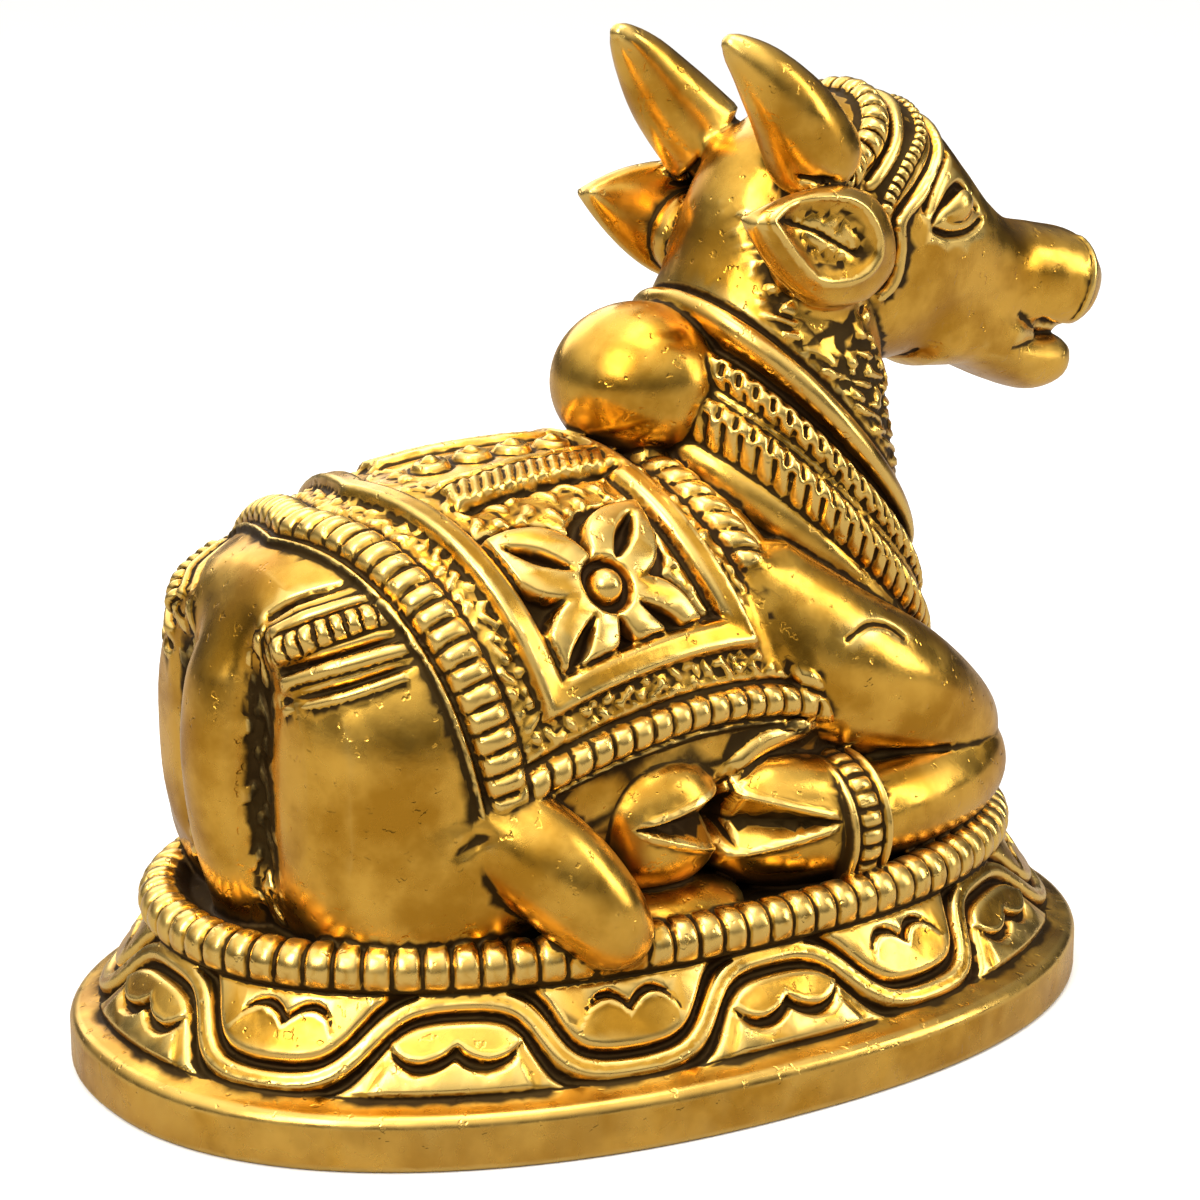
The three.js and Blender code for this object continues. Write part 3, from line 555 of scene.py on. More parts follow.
# Neck from foot to crown: back edge by place and height, front edge by place and height, half width
NECK_ROWS = [
    [3, 30, 39.6, 3, 16.4], [7, 45, 38.8, 16, 16.8], [9, 50.6, 37.4, 22.5, 16],
    [10.8, 55.8, 36.2, 29, 14.9], [13, 61, 35, 38.5, 12.4], [15, 67, 34.6, 46.5, 10.8],
    [17.6, 72, 34.6, 55, 9.4],
]
NECK_RUN = 30.7
NECK_BEAD = 2.0
LOW_ROPE, TOP_ROPE = (6.1, 1.55), (10.4, 1.6)
SIDEWAYS = np.array([0, 1.0, 0])


def neck():
    rings, grime = [], []
    count = 420
    for share in np.linspace(0, 1, 300):
        bx, bz, fx, fz, half = smooth_row(NECK_ROWS, share)
        back, front = np.array([bx, 0, bz + DECK]), np.array([fx, 0, fz + DECK])
        long = front - back
        reach = np.linalg.norm(long) / 2
        ring = oval((back + front) / 2, unit(long), SIDEWAYS, reach, half, 2.1, count)
        gap = np.linalg.norm(np.roll(ring, -1, 0) - ring, axis=1)
        run = np.concatenate([[0], np.cumsum(gap)[:-1]])
        girth = gap.sum()
        m = share * NECK_RUN
        bead = girth / round(girth / NECK_BEAD)
        from_top, from_low = np.full(count, m - TOP_ROPE[0]), np.full(count, m - LOW_ROPE[0])
        lift = 1.5 * dome(np.clip((m - 14.7) / 1.5, -1, 1)) - 0.35 * bell(m - 12.75, 0.4)
        lift = lift + rope(from_top, TOP_ROPE[1], run, bead, 1.7)
        lift = lift + rope(from_low, LOW_ROPE[1], run, bead, 1.7)
        lift += 0.75 * dome(np.clip((m - 8.25) / 0.5, -1, 1)) + 0.9 * dome(np.clip((m - 3.9) / 0.65, -1, 1))
        lift -= 0.5 * (bell(m - 16.5, 0.35) + bell(m - 12.5, 0.4))
        zone = smooth(17.0, 17.8, m) * smooth(25.5, 24, m) * smooth(14, 17, ring[:, 0])
        lift += zone * 0.75 * scroll(run, np.full(count, m * 1.2), 1.15)
        out = unit(ring - ring.mean(0))
        rings.append(ring + out * lift[:, None])
        roped = smooth(0.3, 1.0, m) * smooth(13.2, 12.8, m)
        on_rope = (np.abs(from_top) < TOP_ROPE[1]) | (np.abs(from_low) < LOW_ROPE[1])
        beads = bell(to_notch(run, bead), 0.25) * on_rope
        grime.append(np.maximum(np.maximum(smooth(0.5, 0.15, lift), beads) * roped,
                                np.maximum(zone * smooth(0.3, 0.05, lift), bell(m - 16.6, 0.5) * 0.9)))
    crown = rings[-1]
    mid = crown.mean(0)
    for q in np.linspace(0.15, 1.5, 10):
        grime.append(np.zeros(count))
        rings.append(mid + (crown - mid) * math.cos(q) + np.array([0.35, 0, 0.94]) * 3.2 * math.sin(q))
    heap.rings(rings, grime=grime)


# Head and jaw: upright ovals from poll to muzzle, by top point, low point, half width
HEAD_ROWS = [
    [17.5, 69.5, 20, 56, 6.6], [21.6, 73.6, 25, 50, 9.8], [27.4, 75.6, 31, 47.4, 10.8],
    [34.6, 75.8, 37.2, 47.4, 10.6], [40, 73.6, 42.4, 48.2, 9.6], [44.4, 69.4, 46.4, 49, 8.4],
    [48.8, 64.8, 50.6, 49.2, 7.2], [53.4, 61.6, 54.8, 48.6, 6.5], [59, 60.4, 59.4, 48.2, 6.9],
    [63.2, 59.4, 63, 48.6, 6.6], [66, 57, 65.2, 50.4, 4.8],
]
JAW_ROWS = [
    [40, 56, 41.5, 47.2, 7.4], [46, 53, 47.6, 45.6, 6.6], [52, 50.6, 53.4, 43.2, 5.6],
    [57, 49, 58, 41.8, 5], [61, 48.2, 61.6, 42.4, 4.3], [63.2, 47, 63.4, 44.2, 2.6],
]


def head_loft(rows, steps, count=260):
    rings = []
    for share in np.linspace(0, 1, steps):
        tx, tz, lx, lz, half = smooth_row(rows, share)
        top, low = np.array([tx, 0, tz + DECK]), np.array([lx, 0, lz + DECK])
        tall = top - low
        half_tall = np.linalg.norm(tall) / 2
        rings.append(oval((top + low) / 2, SIDEWAYS, unit(tall), half, half_tall, 2.25, count))
    heap.rings(rings)


def up(rows, side=1):
    """Places given above the deck, on the near or far side, as places in the frame."""
    return [[x, side * y, z + DECK] for x, y, z in rows]


EAR_ROOT, EAR_TIP = np.array([27.8, 13, 59.6 + DECK]), np.array([9, 14.6, 65.6 + DECK])


def ear_frame(side):
    """Root and tip of an ear, and its directions along, across and out of the bowl."""
    flip = np.array([1, side, 1])
    root, tip = EAR_ROOT * flip, EAR_TIP * flip
    along = unit(tip - root)
    out = unit(np.array([0.1, side, -0.12]))
    wide = unit(np.cross(along, out))
    out = unit(np.cross(wide, along))
    if out[1] * side < 0:
        out = -out
    return root, tip, along, wide, out


def figure():
    for side in (-1, 1):
        # horn, its stem and the ear
        horn = [[21.4, 9.1, 70.5], [20.6, 9.6, 71.4], [17.2, 10.6, 75.4], [13.8, 10.4, 79.2],
                [11.2, 9.8, 81.6], [10.2, 9.6, 82.4]]
        girths = [[4.8, 4.8], [4.9, 4.9], [4.2, 4.2], [3.0, 3.0], [1.7, 1.7], [0.9, 0.9]]
        bar(up(horn, side), girths, blunt=0.12)
        stem = [[28, 5.0, 63], [24, 6.5, 67.5], [21.2, 9.0, 70.6]]
        bar(up(stem, side), [[5, 5], [4.3, 4.3], [3.6, 3.6]], steps=24)
        root, tip, along, wide, out = ear_frame(side)
        rings = []
        for t in np.linspace(0.02, 0.985, 60):
            swell = math.sin(math.pi * t ** 0.66)
            thick = 3 * (0.45 + 0.55 * swell)
            rings.append(oval(mix(root, tip, t), wide, out, 6.3 * swell ** 0.75, thick, 2, 90))
        heap.rings(rings)
        lump(up([[21.5, side * 10.5, 60.5]])[0], [6, 4, 5])
        # eye
        drop = [[36.8, 9.5, 62.9], [38.6, 9.2, 63.6], [40.7, 8.8, 64.3], [42.5, 8.1, 64.5]]
        bar(up(drop, side), [[0.3, 0.3], [1.15, 1.2], [1.6, 1.85], [1.0, 1.3]], steps=40)
        # legs
        lump(up([[-25, side * 11.6, 8.4]])[0], [16, 13.2, 14.6], 2.2)
        shank = [[-26, 21, 13], [-22, 25.4, 9], [-18.4, 28, 4.6], [-15.6, 29, 0.8], [-14.6, 29.2, -0.8]]
        bar(up(shank, side), [[4, 5], [5, 5.4], [4.7, 4.9], [3.6, 3.7], [1.8, 1.9]])
        upper = [[8, 15, 26], [16, 17.4, 20.5], [26, 18.2, 16], [35, 16.2, 10.5], [39.4, 14.8, 8]]
        bar(up(upper, side), [[6, 9], [7, 9], [6.6, 7.6], [5.8, 6], [3, 3.4]])
        lower = [[15, 22.6, 5.4], [22, 21.8, 5.6], [30, 19.4, 6], [36.4, 16.4, 7], [40.6, 14.2, 7.6]]
        bar(up(lower, side), [[5, 5], [5.6, 5.4], [6, 5.8], [5.6, 5.8], [2.8, 3.2]])
        anklet(side)
        lump(up([[-7, side * 21.8, 9.2]])[0], [6.9, 5.4, 6.6], 2.3)
        hoof = [[13.4, 22.6, 5.9], [9.4, 22.3, 6.5], [4.4, 21.9, 7.3], [1.4, 21.9, 7.8]]
        bar(up(hoof, side), [[6.1, 6.2], [6.0, 6.7], [5.4, 6.5], [4.6, 5.2]], power=2.2)
        lump(up([[-6.5, side * 22.5, 0.4]])[0], [9, 6.4, 3.0])
    # hump and chin
    lump(up([[6.2, 0, 47.8]])[0], [9, 9, 8.2])
    chin = [[42, 0, 51], [48, 0, 50], [52.5, 0, 49.2], [55.4, 0, 48.6]]
    bar(up(chin), [[8.4, 5], [7.2, 4.4], [6.2, 3.4], [4.8, 2.4]])
    tail()


ANKLET_WIDE, ANKLET_RADIUS, ANKLET_PITCH = 5.6, 6.3, 1.72


def anklet(side):
    rings, grime = [], []
    count = 220
    for t in np.linspace(0, 1, 40):
        mid = np.array([mix(11.6, 17.2, t), side * mix(22.8, 22.5, t), 5.6 + DECK])
        round_it = np.arange(count) / count * 2 * math.pi * ANKLET_RADIUS
        m = (t - 0.5) * ANKLET_WIDE
        lift = 0.6 * dome(np.clip((abs(m) - 2.2) / 0.5, -1, 1)) - 0.3 * bell(abs(m) - 1.55, 0.25)
        lift = lift + rope(np.full(count, m), 1.4, round_it, ANKLET_PITCH, 0.7)
        lift = lift + 0.4 * smooth(-2.8, -2.4, m) * smooth(2.8, 2.4, m)
        ring = oval(mid, SIDEWAYS, np.array([0, 0, 1.0]), ANKLET_RADIUS, 6.1, 2, count)
        rings.append(mid + (ring - mid) * (1 + lift / 6)[:, None])
        notch = bell(to_notch(round_it, ANKLET_PITCH), 0.26) * (abs(m) < 1.4)
        beside = bell(abs(m) - 1.55, 0.28) + bell(abs(m) - 2.8, 0.3)
        grime.append(np.maximum(notch, np.full(count, beside)).clip(0, 1))
    heap.rings(rings, grime=grime)


# Tail from root to tip, by place and height above the deck
TAIL_PATH = [
    (-33, 31), (-36.4, 30.4), (-38.8, 28.2), (-40.8, 23.4), (-41.6, 17), (-40.8, 9), (-39, 2.4), (-38, -2),
]


def tail():
    steps = 160
    spots = smooth_row(np.array(TAIL_PATH), np.linspace(0, 1, steps))
    along = unit(np.gradient(spots, axis=0))
    rings = []
    for i, ((x, z), (ax, az)) in enumerate(zip(spots, along)):
        # thin at the root, full by the second mark of the path
        size = min(1, 0.55 + i / (steps - 1) * 7 * 0.25)
        out = np.array([az, 0, -ax])
        mid = np.array([x, -0.4, z + DECK])
        rings.append(oval(mid, out, SIDEWAYS, 4.4 * size, 5.2 * size, 2.2, 120))
    heap.rings(rings)


# Mesh tools
def mesh_object(name, points, faces):
    mesh = bpy.data.meshes.new(name)
    mesh.vertices.add(len(points))
    mesh.vertices.foreach_set("co", points.astype(np.float32).ravel())
    mesh.loops.add(len(faces) * 3)
    mesh.loops.foreach_set("vertex_index", faces.astype(np.int32).ravel())
    mesh.polygons.add(len(faces))
    mesh.polygons.foreach_set("loop_start", np.arange(len(faces), dtype=np.int32) * 3)
    mesh.update(calc_edges=True)
    thing = bpy.data.objects.new(name, mesh)
    bpy.context.collection.objects.link(thing)
    return thing


def choose(thing):
    bpy.ops.object.select_all(action="DESELECT")
    thing.select_set(True)
    bpy.context.view_layer.objects.active = thing


def apply(thing, kind, **settings):
    choose(thing)
    modifier = thing.modifiers.new(kind.lower(), kind)
    for key, value in settings.items():
        setattr(modifier, key, value)
    bpy.ops.object.modifier_apply(modifier=modifier.name)


def points_of(thing):
    co = np.empty(len(thing.data.vertices) * 3, np.float32)
    thing.data.vertices.foreach_get("co", co)
    return co.reshape(-1, 3).astype(float)


def set_points(thing, co):
    thing.data.vertices.foreach_set("co", co.astype(np.float32).ravel())
    thing.data.update()


def normals_of(thing):
    n = np.empty(len(thing.data.vertices) * 3, np.float32)
    thing.data.vertex_normals.foreach_get("vector", n)
    return n.reshape(-1, 3).astype(float)


def edges_of(thing):
    edges = np.empty(len(thing.data.edges) * 2, np.int32)
    thing.data.edges.foreach_get("vertices", edges)
    return edges.reshape(-1, 2).T


def neighbour_count(a, b, n):
    return np.maximum(np.bincount(a, minlength=n) + np.bincount(b, minlength=n), 1)


def neighbour_mean(a, b, count, spots):
    """Mean place of the neighbours of each point, over the edges from a to b."""
    n = len(spots)
    total = [np.bincount(a, spots[b, k], n) + np.bincount(b, spots[a, k], n) for k in range(3)]
    return np.stack(total, 1) / count[:, None]


def skin_tree(thing, co):
    return BVHTree.FromPolygons([Vector(p) for p in co], [tuple(f.vertices) for f in thing.data.polygons])


def nearest(cloud, spots):
    """Index of the point of the cloud that is nearest to each spot."""
    tree = KDTree(len(cloud))
    for i, p in enumerate(cloud):
        tree.insert(p, i)
    tree.balance()
    return np.array([tree.find(p)[1] for p in spots])


# Carved lines: points, half width, height (ridges) or depth (grooves, below nought), bead pitch.
# Wider ones than TROUGH are cut as rough troughs towards the middle.
TROUGH = 2.0
LINES = [
    # crupper bands on the haunch
    ([(-41.0, -7.2, 48.0), (-38.3, -9.4, 50.1), (-35.0, -12.5, 52.5)], 0.6, -1.0, 0),
    ([(-41.4, -8.3, 46.6), (-38.3, -11.6, 48.9), (-34.6, -14.8, 51.5)], 0.75, 0.7, 0),
    ([(-41.4, -9.6, 45.4), (-40.0, -12.0, 46.7), (-37.8, -13.8, 47.9),
      (-34.1, -16.8, 50.0)], 1.35, 1.4, 1.45),
    ([(-41.7, -10.7, 43.8), (-38.7, -14.8, 45.8), (-33.4, -19.0, 48.4)], 0.55, -1.1, 0),
    ([(-41.8, -10.9, 42.6), (-37.9, -15.9, 45.0), (-32.8, -20.0, 47.6)], 0.8, 0.7, 0),
    ([(-41.8, -11.2, 41.2), (-38.4, -16.8, 43.4), (-32.2, -21.4, 46.4)], 0.5, -0.9, 0),
    ([(-41.8, -11.5, 40.3), (-38.4, -17.1, 42.5), (-33.2, -21.2, 45.2)], 0.5, 0.35, 0),
    # recess beside the tail
    ([(-41.8, -7.8, 46.0), (-42.3, -7.9, 40.7), (-42.4, -7.7, 34.7), (-42.3, -7.6, 28.8),
      (-41.5, -7.4, 20.0)], 2.9, -1.9, 0),
    # strap on the belly between the cloth and the hooves
    ([(0.1, -21.9, 29.6), (2.5, -22.4, 31.0), (5.4, -22.4, 32.2), (9.7, -21.9, 32.8),
      (13.1, -22.3, 33.4)], 1.3, 0.9, 0),
    # folds over the hock, the elbow and the shoulder
    ([(-31.2, -23.4, 27.2), (-28.8, -24.2, 28.8), (-26.6, -25.6, 29.6)], 0.9, -0.35, 0),
    ([(16.4, -22.8, 28.4), (22.8, -21.7, 27.9), (29.6, -22.5, 27.6)], 0.55, -0.5, 0),
    ([(15.0, -23.3, 41.0), (18.4, -22.9, 42.2), (21.4, -22.8, 41.6), (23.3, -23.0, 39.6)], 0.45, -0.5, 0),
    # grooves round the horn bases
    ([(17.4, -11.4, 86.6), (19.4, -12.9, 86.0), (23.4, -12.8, 87.0)], 0.5, -0.6, 0),
    # beaded collar, plain band, beaded band and edge over the brow
    ([(32.6, 0, 93.0), (32.2, -3.6, 92.4), (31.2, -6.4, 90.8), (29.2, -8.6, 88.8), (26.2, -10.2, 86.8),
      (22.8, -11.4, 85.4), (18.8, -12.2, 84.8)], 1.55, 1.45, 1.85),
    ([(34.9, 0, 92.8), (34.3, -3.4, 92.0), (33.3, -5.8, 90.8), (31.4, -8.4, 88.2), (28.2, -10.2, 85.5),
      (24.4, -11.6, 83.8)], 0.35, -0.7, 0),
    ([(36.0, 0, 92.6), (35.4, -3.4, 91.7), (34.3, -5.8, 90.6), (32.4, -8.4, 88.0), (29.2, -10.2, 85.3),
      (25.4, -11.6, 83.4)], 0.7, 0.55, 0),
    ([(38.2, 0, 91.9), (37.6, -3.6, 90.8), (36.2, -7.3, 88.4), (32.9, -9.6, 85.7), (30.5, -10.3, 83.2),
      (29.4, -10.6, 81.2)], 0.75, 0.75, 1.05),
    ([(39.6, 0, 91.2), (39.0, -4.4, 89.8), (37.6, -7.8, 87.0), (34.3, -9.9, 84.0), (30.9, -10.6, 80.9),
      (30.8, -10.7, 77.6), (30.0, -10.4, 74.2), (26.6, -10.8, 71.4)], 0.42, -0.75, 0),
    ([(40.6, 0, 90.6), (40.0, -4.6, 89.2), (38.6, -8.0, 86.4), (35.2, -10.1, 83.2), (31.9, -10.8, 80.6),
      (31.8, -10.9, 77.4), (31.0, -10.6, 73.8), (27.4, -10.9, 70.6)], 0.55, 0.4, 0),
    # brow and eyelids
    ([(40.4, -7.1, 86.8), (37.8, -9.1, 84.8), (35.8, -10.4, 82.6), (35.0, -10.5, 80.6)], 0.75, -1.2, 0),
    ([(35.9, -10.4, 79.5), (37.3, -9.8, 81.1), (39.3, -9.1, 82.7), (41.4, -8.6, 83.3), (43.0, -8.8, 82.3),
      (44.6, -8.4, 80.2)], 0.55, -1.05, 0),
    ([(35.9, -10.4, 79.5), (38.7, -10.0, 78.5), (42.1, -9.1, 78.5), (45.0, -7.8, 79.6)], 0.5, -0.9, 0),
    # mouth, muzzle edge and nostril
    ([(56.0, -5.2, 67.4), (57.2, -4.6, 66.6), (58.8, -4.0, 66.0), (61.0, -3.4, 65.6),
      (63.6, -1.5, 65.2)], 0.8, -1.3, 0),
    ([(62.6, -3.4, 76.2), (63.2, -4.6, 75.0), (63.1, -5.9, 73.4), (62.4, -6.4, 71.0), (61.9, -6.2, 69.1),
      (61.4, -4.6, 66.8)], 0.5, 0.3, 0),
    ([(64.8, -3.4, 74.0), (65.3, -3.6, 73.2), (65.4, -3.3, 72.4)], 0.8, -1.4, 0),
]

# Clefts of the hooves: closed end, open end, half width at the open end, depth
WEDGES = [
    ((-11.8, 27, 27.2), (-0.8, 27, 26.4), 3.0, 3.4),
    ((11.4, 27, 24.4), (-0.5, 27, 25.4), 3.0, 3.4),
]

# Bowl of the ear and its crease, seen from the side, by place and height
EAR_BOWL = [(11.6, 82.5), (13.6, 83.7), (16.4, 84.2), (21.2, 83.5), (23.6, 81.2), (24.2, 78.2),
            (22.0, 76.4), (17.8, 76.3), (14.4, 79.0), (11.6, 82.5)]
EAR_CREASE = [(12.6, 82.3), (17.1, 80.8), (21.2, 78.7), (23.6, 77.8)]

# Places where one form runs softly into another: middle, radius, rounds
BLENDS = [
    ((41, 8.6, 67.4), 4.6, 160), ((45.5, 7.6, 68.0), 4.2, 160), ((50, 6.6, 67.6), 3.6, 160),
    ((37.5, 8.6, 66.2), 4, 120), ((19, 0, 88.5), 7, 160), ((22, 11, 71), 5, 120),
    ((-40.6, 0, 46.5), 7, 200), ((11, 21.6, 45), 7, 160), ((-27, 22.4, 27.5), 3.5, 40),
    ((-32, 20, 26), 6, 120), ((32, 19, 26), 4, 80),
]


def soften(thing):
    """Rounds the skin off in the places named above, on both sides."""
    co = points_of(thing)
    a, b = edges_of(thing)
    spot_of = np.zeros(len(co), int)
    for mid, radius, rounds in BLENDS:
        for side in (1, -1) if mid[1] else (1,):
            far = np.linalg.norm(co - np.array(mid) * [1, side, 1], axis=1)
            inside = far < radius
            near = np.nonzero(inside)[0]
            spot_of[near] = np.arange(len(near))
            pick = inside[a] & inside[b]
            p, q = spot_of[a[pick]], spot_of[b[pick]]
            count = neighbour_count(p, q, len(near))
            weight = smooth(radius, radius * 0.5, far[near])[:, None]
            local = co[near]
            for _ in range(rounds):
                local = local + (neighbour_mean(p, q, count, local) - local) * weight
            co[near] = local
    set_points(thing, co)


def signed_reach(spots, outline):
    """Distance in from a closed outline; below nought outside it."""
    path = smooth_row(np.array(outline), np.linspace(0, 1, 160))
    reach = np.linalg.norm(spots[:, None] - path[None], axis=2).min(1)
    a, b = path[:-1], path[1:]
    x, y = spots[:, :1], spots[:, 1:]
    edge_x = (b[:, 0] - a[:, 0]) * (y - a[:, 1]) / (b[:, 1] - a[:, 1] + 1e-12) + a[:, 0]
    cross = ((a[:, 1] > y) != (b[:, 1] > y)) & (x < edge_x)
    return np.where(cross.sum(1) % 2 == 1, reach, -reach)


def carve_lines(thing, co, normal, grime):
    """Cuts and raises the carved lines on both sides."""
    tree = skin_tree(thing, co)
    offset = np.zeros(len(co))
    for rows, half, tall, bead in LINES:
        for side in (1, -1):
            pins = np.array([list(tree.find_nearest(Vector((x, y * side, z)))[0]) for x, y, z in rows])
            run = np.linalg.norm(np.diff(pins, axis=0), axis=1).sum()
            marks = max(int(run / 0.15), 8)
            path = smooth_row(pins, np.linspace(0, 1, marks))
            gone = np.concatenate([[0], np.cumsum(np.linalg.norm(np.diff(path, axis=0), axis=1))])
            low, high = path.min(0) - half * 1.6, path.max(0) + half * 1.6
            near = np.nonzero(((co > low) & (co < high)).all(1))[0]
            if not len(near):
                continue
            far = np.linalg.norm(co[near][:, None] - path[None], axis=2)
            best = far.argmin(1)
            dist, place = far[np.arange(len(near)), best], gone[best]
            # the ends run out, but not where the two sides meet in the middle
            to_end = np.minimum(place, gone[-1] - place) + half * 0.2
            taper = smooth(0, half * (1.1 if bead else 2.2), to_end)
            if rows[0][1] == 0:
                taper = smooth(0, half * 1.2, gone[-1] - place + half * 0.3)
            if bead:
                rise = rope(dist, half, place + bead / 2, bead, tall, 0.2)
            elif tall > 0:
                rise = tall * dome(np.clip(dist / half, 0, 1))
            else:
                rise = tall * bell(dist, half * 0.75)
            rise = rise * taper
            if half > TROUGH:
                rough = scroll(co[near][:, 1] * 1.5, co[near][:, 2], 0.8)
                rise += 0.5 * rough * smooth(half, half * 0.5, dist)
                co[near] += np.outer(rise, unit(np.array([-0.8, -0.6 * side, 0])))
                laid = smooth(half, half * 0.6, dist) * taper * (0.95 - 0.35 * rough)
                grime[near] = np.maximum(grime[near], laid)
                continue
            old = offset[near]
            offset[near] = np.where(np.abs(rise) > np.abs(old), rise, old)
            if tall < 0:
                sunk = bell(dist, half * 0.75) * min(1, abs(tall) / 0.8)
            else:
                sunk = bell(to_notch(place + bead / 2, bead), 0.2) * (dist < half) if bead else 0
            grime[near] = np.maximum(grime[near], sunk * taper)
    return co + normal * offset[:, None]


def carve_ear(co, normal, grime, side):
    """Hollows the bowl of one ear, with its rim, crease and marks."""
    out = ear_frame(side)[4]
    x, y, z = co.T
    beside_head = (y * side > 12.6) & (x > 6) & (x < 29) & (z > 70)
    near = np.nonzero(beside_head & (normal @ out > 0.05))[0]
    spots = co[near][:, [0, 2]]
    depth = signed_reach(spots, EAR_BOWL)
    crease = smooth_row(np.array(EAR_CREASE), np.linspace(0, 1, 80))
    far = np.linalg.norm(spots[:, None] - crease[None], axis=2).min(1)
    bowl = 1 - (1 - np.clip(depth / 1.9, 0, 1)) ** 2
    inner = smooth(0.6, 1.6, depth)
    marks = inner * (0.12 * scroll(spots[:, 0], spots[:, 1], 1.5) + 0.4 * bell(far, 0.25))
    grime[near] = np.maximum(grime[near], 0.7 * inner * bell(far, 0.3))
    shift = 0.3 * bell(depth + 0.5, 0.4) - 1.35 * bowl - marks
    co[near] += out * shift[:, None]


def carve_hooves(co, normal, grime, side):
    """Splits the hooves of one side by wedges that open towards the toes."""
    flip = np.array([1, side, 1])
    for shut_end, open_end, half_open, depth in WEDGES:
        a, b = np.array(shut_end, float) * flip, np.array(open_end, float) * flip
        way = unit(b - a)
        long = np.linalg.norm(b - a)
        away = co - a
        share = away @ way / long
        cross = away - (away @ way)[:, None] * way
        q = np.abs(cross[:, 2])
        room = (share > -0.05) & (share < 1.15) & (np.abs(cross[:, 1]) < 6) & (normal[:, 1] * side > -0.2)
        opening = 0.12 + half_open * np.clip(share, 0, 1.2)
        cut = depth * np.clip(share, 0, 1) ** 0.6 * np.clip(1 - q / opening, 0, None) * room
        lips = 0.45 * bell(q - opening - 0.25, 0.4) * room
        lips = lips * smooth(0, 0.15, share) * smooth(1.05, 0.8, share)
        co[:, 1] -= side * (cut - lips)
        laid = 0.8 * bell(q, 0.25) * room * (share > 0) * (share < 1)
        np.maximum(grime, laid, out=grime)


def carve(thing):
    """Carves the skin on both sides and gives the grime that settles in the cuts."""
    co, normal = points_of(thing), normals_of(thing)
    grime = np.zeros(len(co))
    co = carve_lines(thing, co, normal, grime)
    for side in (1, -1):
        carve_ear(co, normal, grime, side)
        carve_hooves(co, normal, grime, side)
    set_points(thing, co)
    return grime


def cavity_of(thing, rounds):
    """How deep each point sits in its surroundings, in millimetres; below nought on ridges."""
    co, normal = points_of(thing), normals_of(thing)
    a, b = edges_of(thing)
    count = neighbour_count(a, b, len(co))
    soft = co
    out = []
    for turn in range(1, max(rounds) + 1):
        soft = neighbour_mean(a, b, count, soft)
        if turn in rounds:
            out.append(((soft - co) * normal).sum(1))
    return out


def shade_of(thing):
    """Share of open sky over each point, from 0 in a deep gap to 1 in the open."""
    co, normal = points_of(thing), normals_of(thing)
    tree = skin_tree(thing, co)
    sky = unit(np.random.default_rng(RAY_SEED).normal(size=(RAYS, 3)))
    open_share = np.zeros(len(co))
    for ray in sky:
        way = unit(normal * 1.05 + ray)
        start = co + normal * 0.12
        for i in range(len(co)):
            hit = tree.ray_cast(Vector(start[i]), Vector(way[i]), RAY_REACH)[3]
            open_share[i] += 1 if hit is None else min(hit / RAY_REACH, 1) ** 1.2
    return open_share / RAYS


def attribute(thing, name, values):
    layer = thing.data.attributes.new(name, "FLOAT", "POINT")
    layer.data.foreach_set("value", values.astype(np.float32))


def casting():
    """Builds the casting in millimetres and gives it back in metres."""
    plinth()
    trunk()
    neck()
    head_loft(HEAD_ROWS, 260)
    head_loft(JAW_ROWS, 120, 160)
    figure()
    thing = mesh_object("nandi_casting", np.vstack(heap.points), np.vstack(heap.faces))
    apply(thing, "REMESH", mode="VOXEL", voxel_size=VOXEL, adaptivity=0.0)
    apply(thing, "SMOOTH", factor=0.5, iterations=2)
    soften(thing)
    lines = carve(thing)
    fine, wide = cavity_of(thing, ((6, 60)))
    dense = points_of(thing)
    apply(thing, "TRIANGULATE")
    faces = len(thing.data.polygons)
    if faces > FACE_LIMIT:
        apply(thing, "DECIMATE", decimate_type="COLLAPSE", ratio=FACE_LIMIT / faces)
    thing.data.validate()
    near = nearest(dense, points_of(thing))
    beside = nearest(np.vstack(heap.points), points_of(thing))
    attribute(thing, "grime", np.maximum(lines[near], np.concatenate(heap.grime)[beside]))
    attribute(thing, "cavity", fine[near])
    attribute(thing, "hollow", wide[near])
    # share of open sky, which the brass colour turns into painted shade
    attribute(thing, "open_sky", shade_of(thing))
    set_points(thing, points_of(thing) * MM)
    choose(thing)
    bpy.ops.object.shade_smooth()
    thing.select_set(False)
    return thing


# Shader node helpers
def ramp(tree, source, low, high, a=0.0, b=1.0):
    made = tree.nodes.new("ShaderNodeMapRange")
    made.interpolation_type = "SMOOTHSTEP"
    made.inputs["From Min"].default_value = low
    made.inputs["From Max"].default_value = high
    made.inputs["To Min"].default_value = a
    made.inputs["To Max"].default_value = b
    tree.links.new(source, made.inputs["Value"])
    return made.outputs["Result"]


def calc(tree, what, a, b):
    made = tree.nodes.new("ShaderNodeMath")
    made.operation = what
    for slot, value in zip(made.inputs, (a, b)):
        if isinstance(value, (int, float)):
            slot.default_value = value
        else:
            tree.links.new(value, slot)
    return made.outputs[0]


def blend_colour(tree, share, a, b):
    made = tree.nodes.new("ShaderNodeMix")
    made.data_type = "RGBA"
    for slot, value in ((made.inputs[0], share), (made.inputs[6], a), (made.inputs[7], b)):
        if isinstance(value, (tuple, int, float)):
            slot.default_value = value
        else:
            tree.links.new(value, slot)
    return made.outputs[2]


BRASS_DEEP, BRASS_LIGHT = (0.53, 0.255, 0.022, 1), (0.88, 0.5, 0.078, 1)
BRASS_WORN = (0.93, 0.62, 0.17, 1)
# amber stain, laid on with noise but strongest where little open sky reaches, so partly painted shade
AMBER_STAIN_AND_SHADE = (0.34, 0.12, 0.012, 1)
# dark patina, also laid on as painted shade where little open sky reaches
PATINA_AND_SHADE = (0.022, 0.014, 0.008, 1)


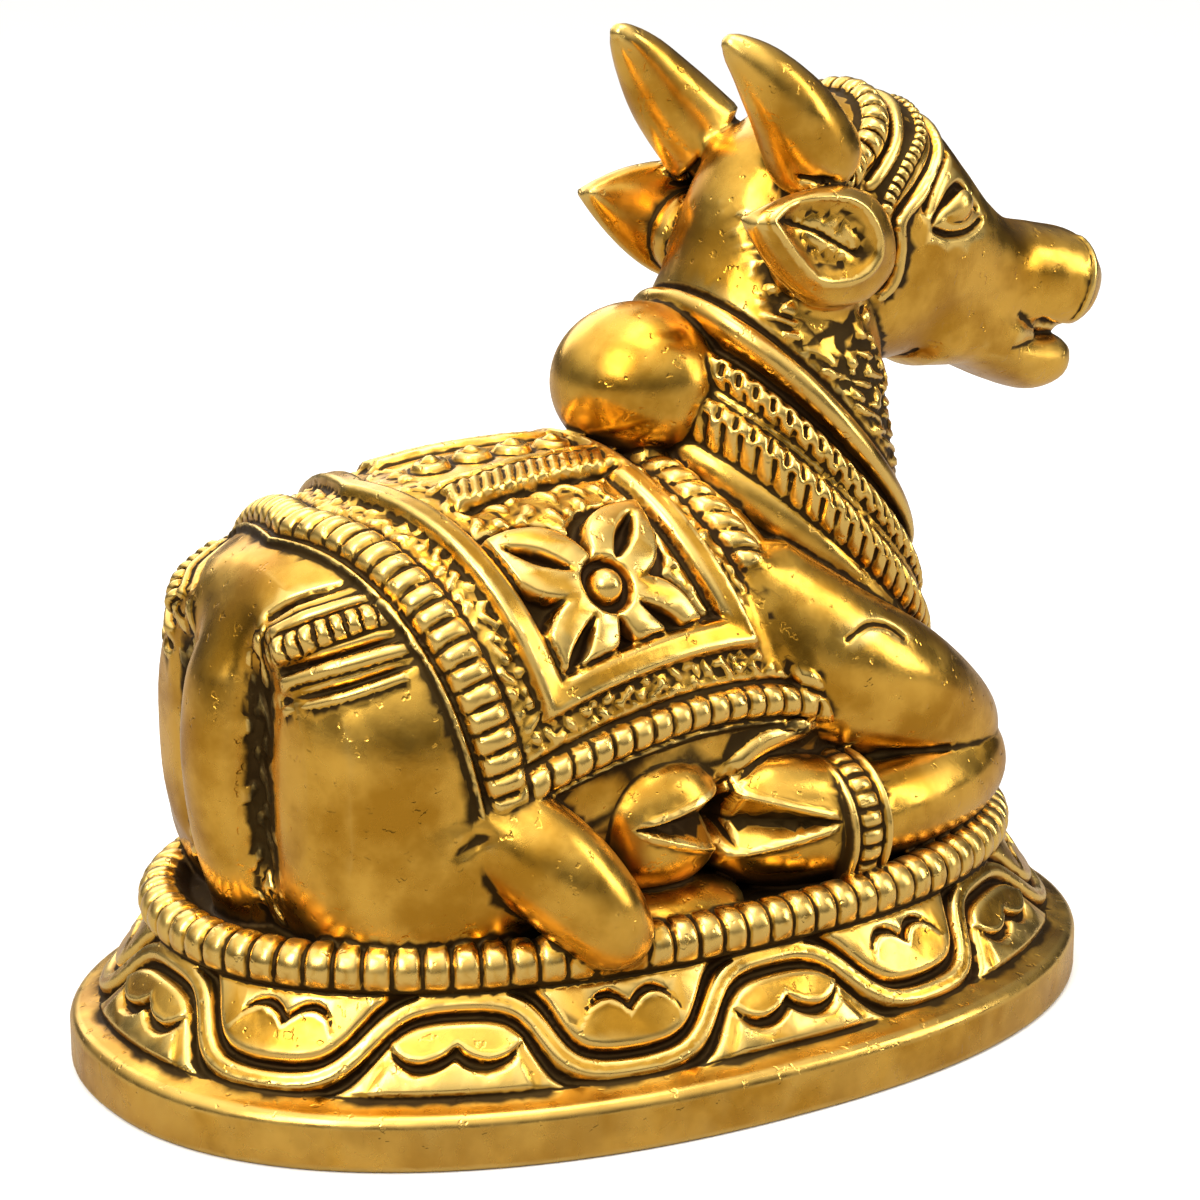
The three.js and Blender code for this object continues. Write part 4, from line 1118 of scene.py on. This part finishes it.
def antique_brass():
    made = bpy.data.materials.new("antique_brass")
    made.use_nodes = True
    tree = made.node_tree
    shader = tree.nodes["Principled BSDF"]
    shader.inputs["Metallic"].default_value = 1.0
    place = tree.nodes.new("ShaderNodeTexCoord").outputs["Object"]

    def value_of(name):
        n = tree.nodes.new("ShaderNodeAttribute")
        n.attribute_name = name
        return n.outputs["Fac"]

    def noise(scale, detail=4.0, rough=0.55):
        n = tree.nodes.new("ShaderNodeTexNoise")
        n.inputs["Scale"].default_value = scale
        n.inputs["Detail"].default_value = detail
        n.inputs["Roughness"].default_value = rough
        tree.links.new(place, n.inputs["Vector"])
        return n.outputs["Fac"]

    def broken(value, pattern, amount):
        return calc(tree, "ADD", value, calc(tree, "MULTIPLY", pattern, amount))

    # patina in grooves and hollows and in the carved cuts; painted shade where little open sky reaches and
    # on the deck; worn edges; stains, partly painted shade
    cavity, hollow, sky, grime = (value_of(name) for name in ("cavity", "hollow", "open_sky", "grime"))
    cloud = noise(120.0)
    grain = noise(900.0, 3.0)
    deep = ramp(tree, broken(cavity, grain, 0.02), 0.025, 0.07)
    wide = ramp(tree, broken(hollow, cloud, 0.2), 0.25, 0.6)
    # painted shade: darker where the ray-cast share of open sky is low
    sky_shade = ramp(tree, broken(sky, cloud, 0.25), 0.52, 0.2)
    # grime laid in the cuts as patina, and on the deck as painted shade
    laid = ramp(tree, broken(grime, grain, 0.35), 0.42, 0.85)
    patina_and_shade = calc(tree, "MAXIMUM", calc(tree, "MAXIMUM", deep, wide), calc(tree, "MAXIMUM", sky_shade, laid))
    worn = ramp(tree, calc(tree, "MULTIPLY", cavity, -1.0), 0.01, 0.06)
    # amber stain clouded by noise and led by the open-sky share: partly stain, partly painted shade
    stain_and_shade = ramp(tree, broken(sky, noise(75.0, 5.0), 0.9), 1.15, 0.75)
    tone = blend_colour(tree, ramp(tree, cloud, 0.35, 0.65), BRASS_DEEP, BRASS_LIGHT)
    tone = blend_colour(tree, calc(tree, "MULTIPLY", stain_and_shade, 0.75), tone, AMBER_STAIN_AND_SHADE)
    tone = blend_colour(tree, worn, tone, BRASS_WORN)
    # dark patina in the cuts and hollows, and painted shade in shut-in places
    colour = blend_colour(tree, calc(tree, "MULTIPLY", patina_and_shade, 0.95), tone, PATINA_AND_SHADE)
    tree.links.new(colour, shader.inputs["Base Color"])
    rough = broken(ramp(tree, noise(260.0), 0.3, 0.7, 0.2, 0.34), patina_and_shade, 0.35)
    tree.links.new(rough, shader.inputs["Roughness"])
    # small unevenness and casting pits
    bump = tree.nodes.new("ShaderNodeBump")
    bump.inputs["Strength"].default_value = 0.25
    bump.inputs["Distance"].default_value = 0.0003
    pits = ramp(tree, noise(700.0, 2.0), 0.36, 0.3, 0.0, -1.0)
    height = calc(tree, "ADD", calc(tree, "MULTIPLY", noise(320.0), 0.5), pits)
    tree.links.new(height, bump.inputs["Height"])
    tree.links.new(bump.outputs["Normal"], shader.inputs["Normal"])
    return made


studio()
bull = casting()
bull.data.materials.append(antique_brass())
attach(bull, "root")
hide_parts("nandi_bull")
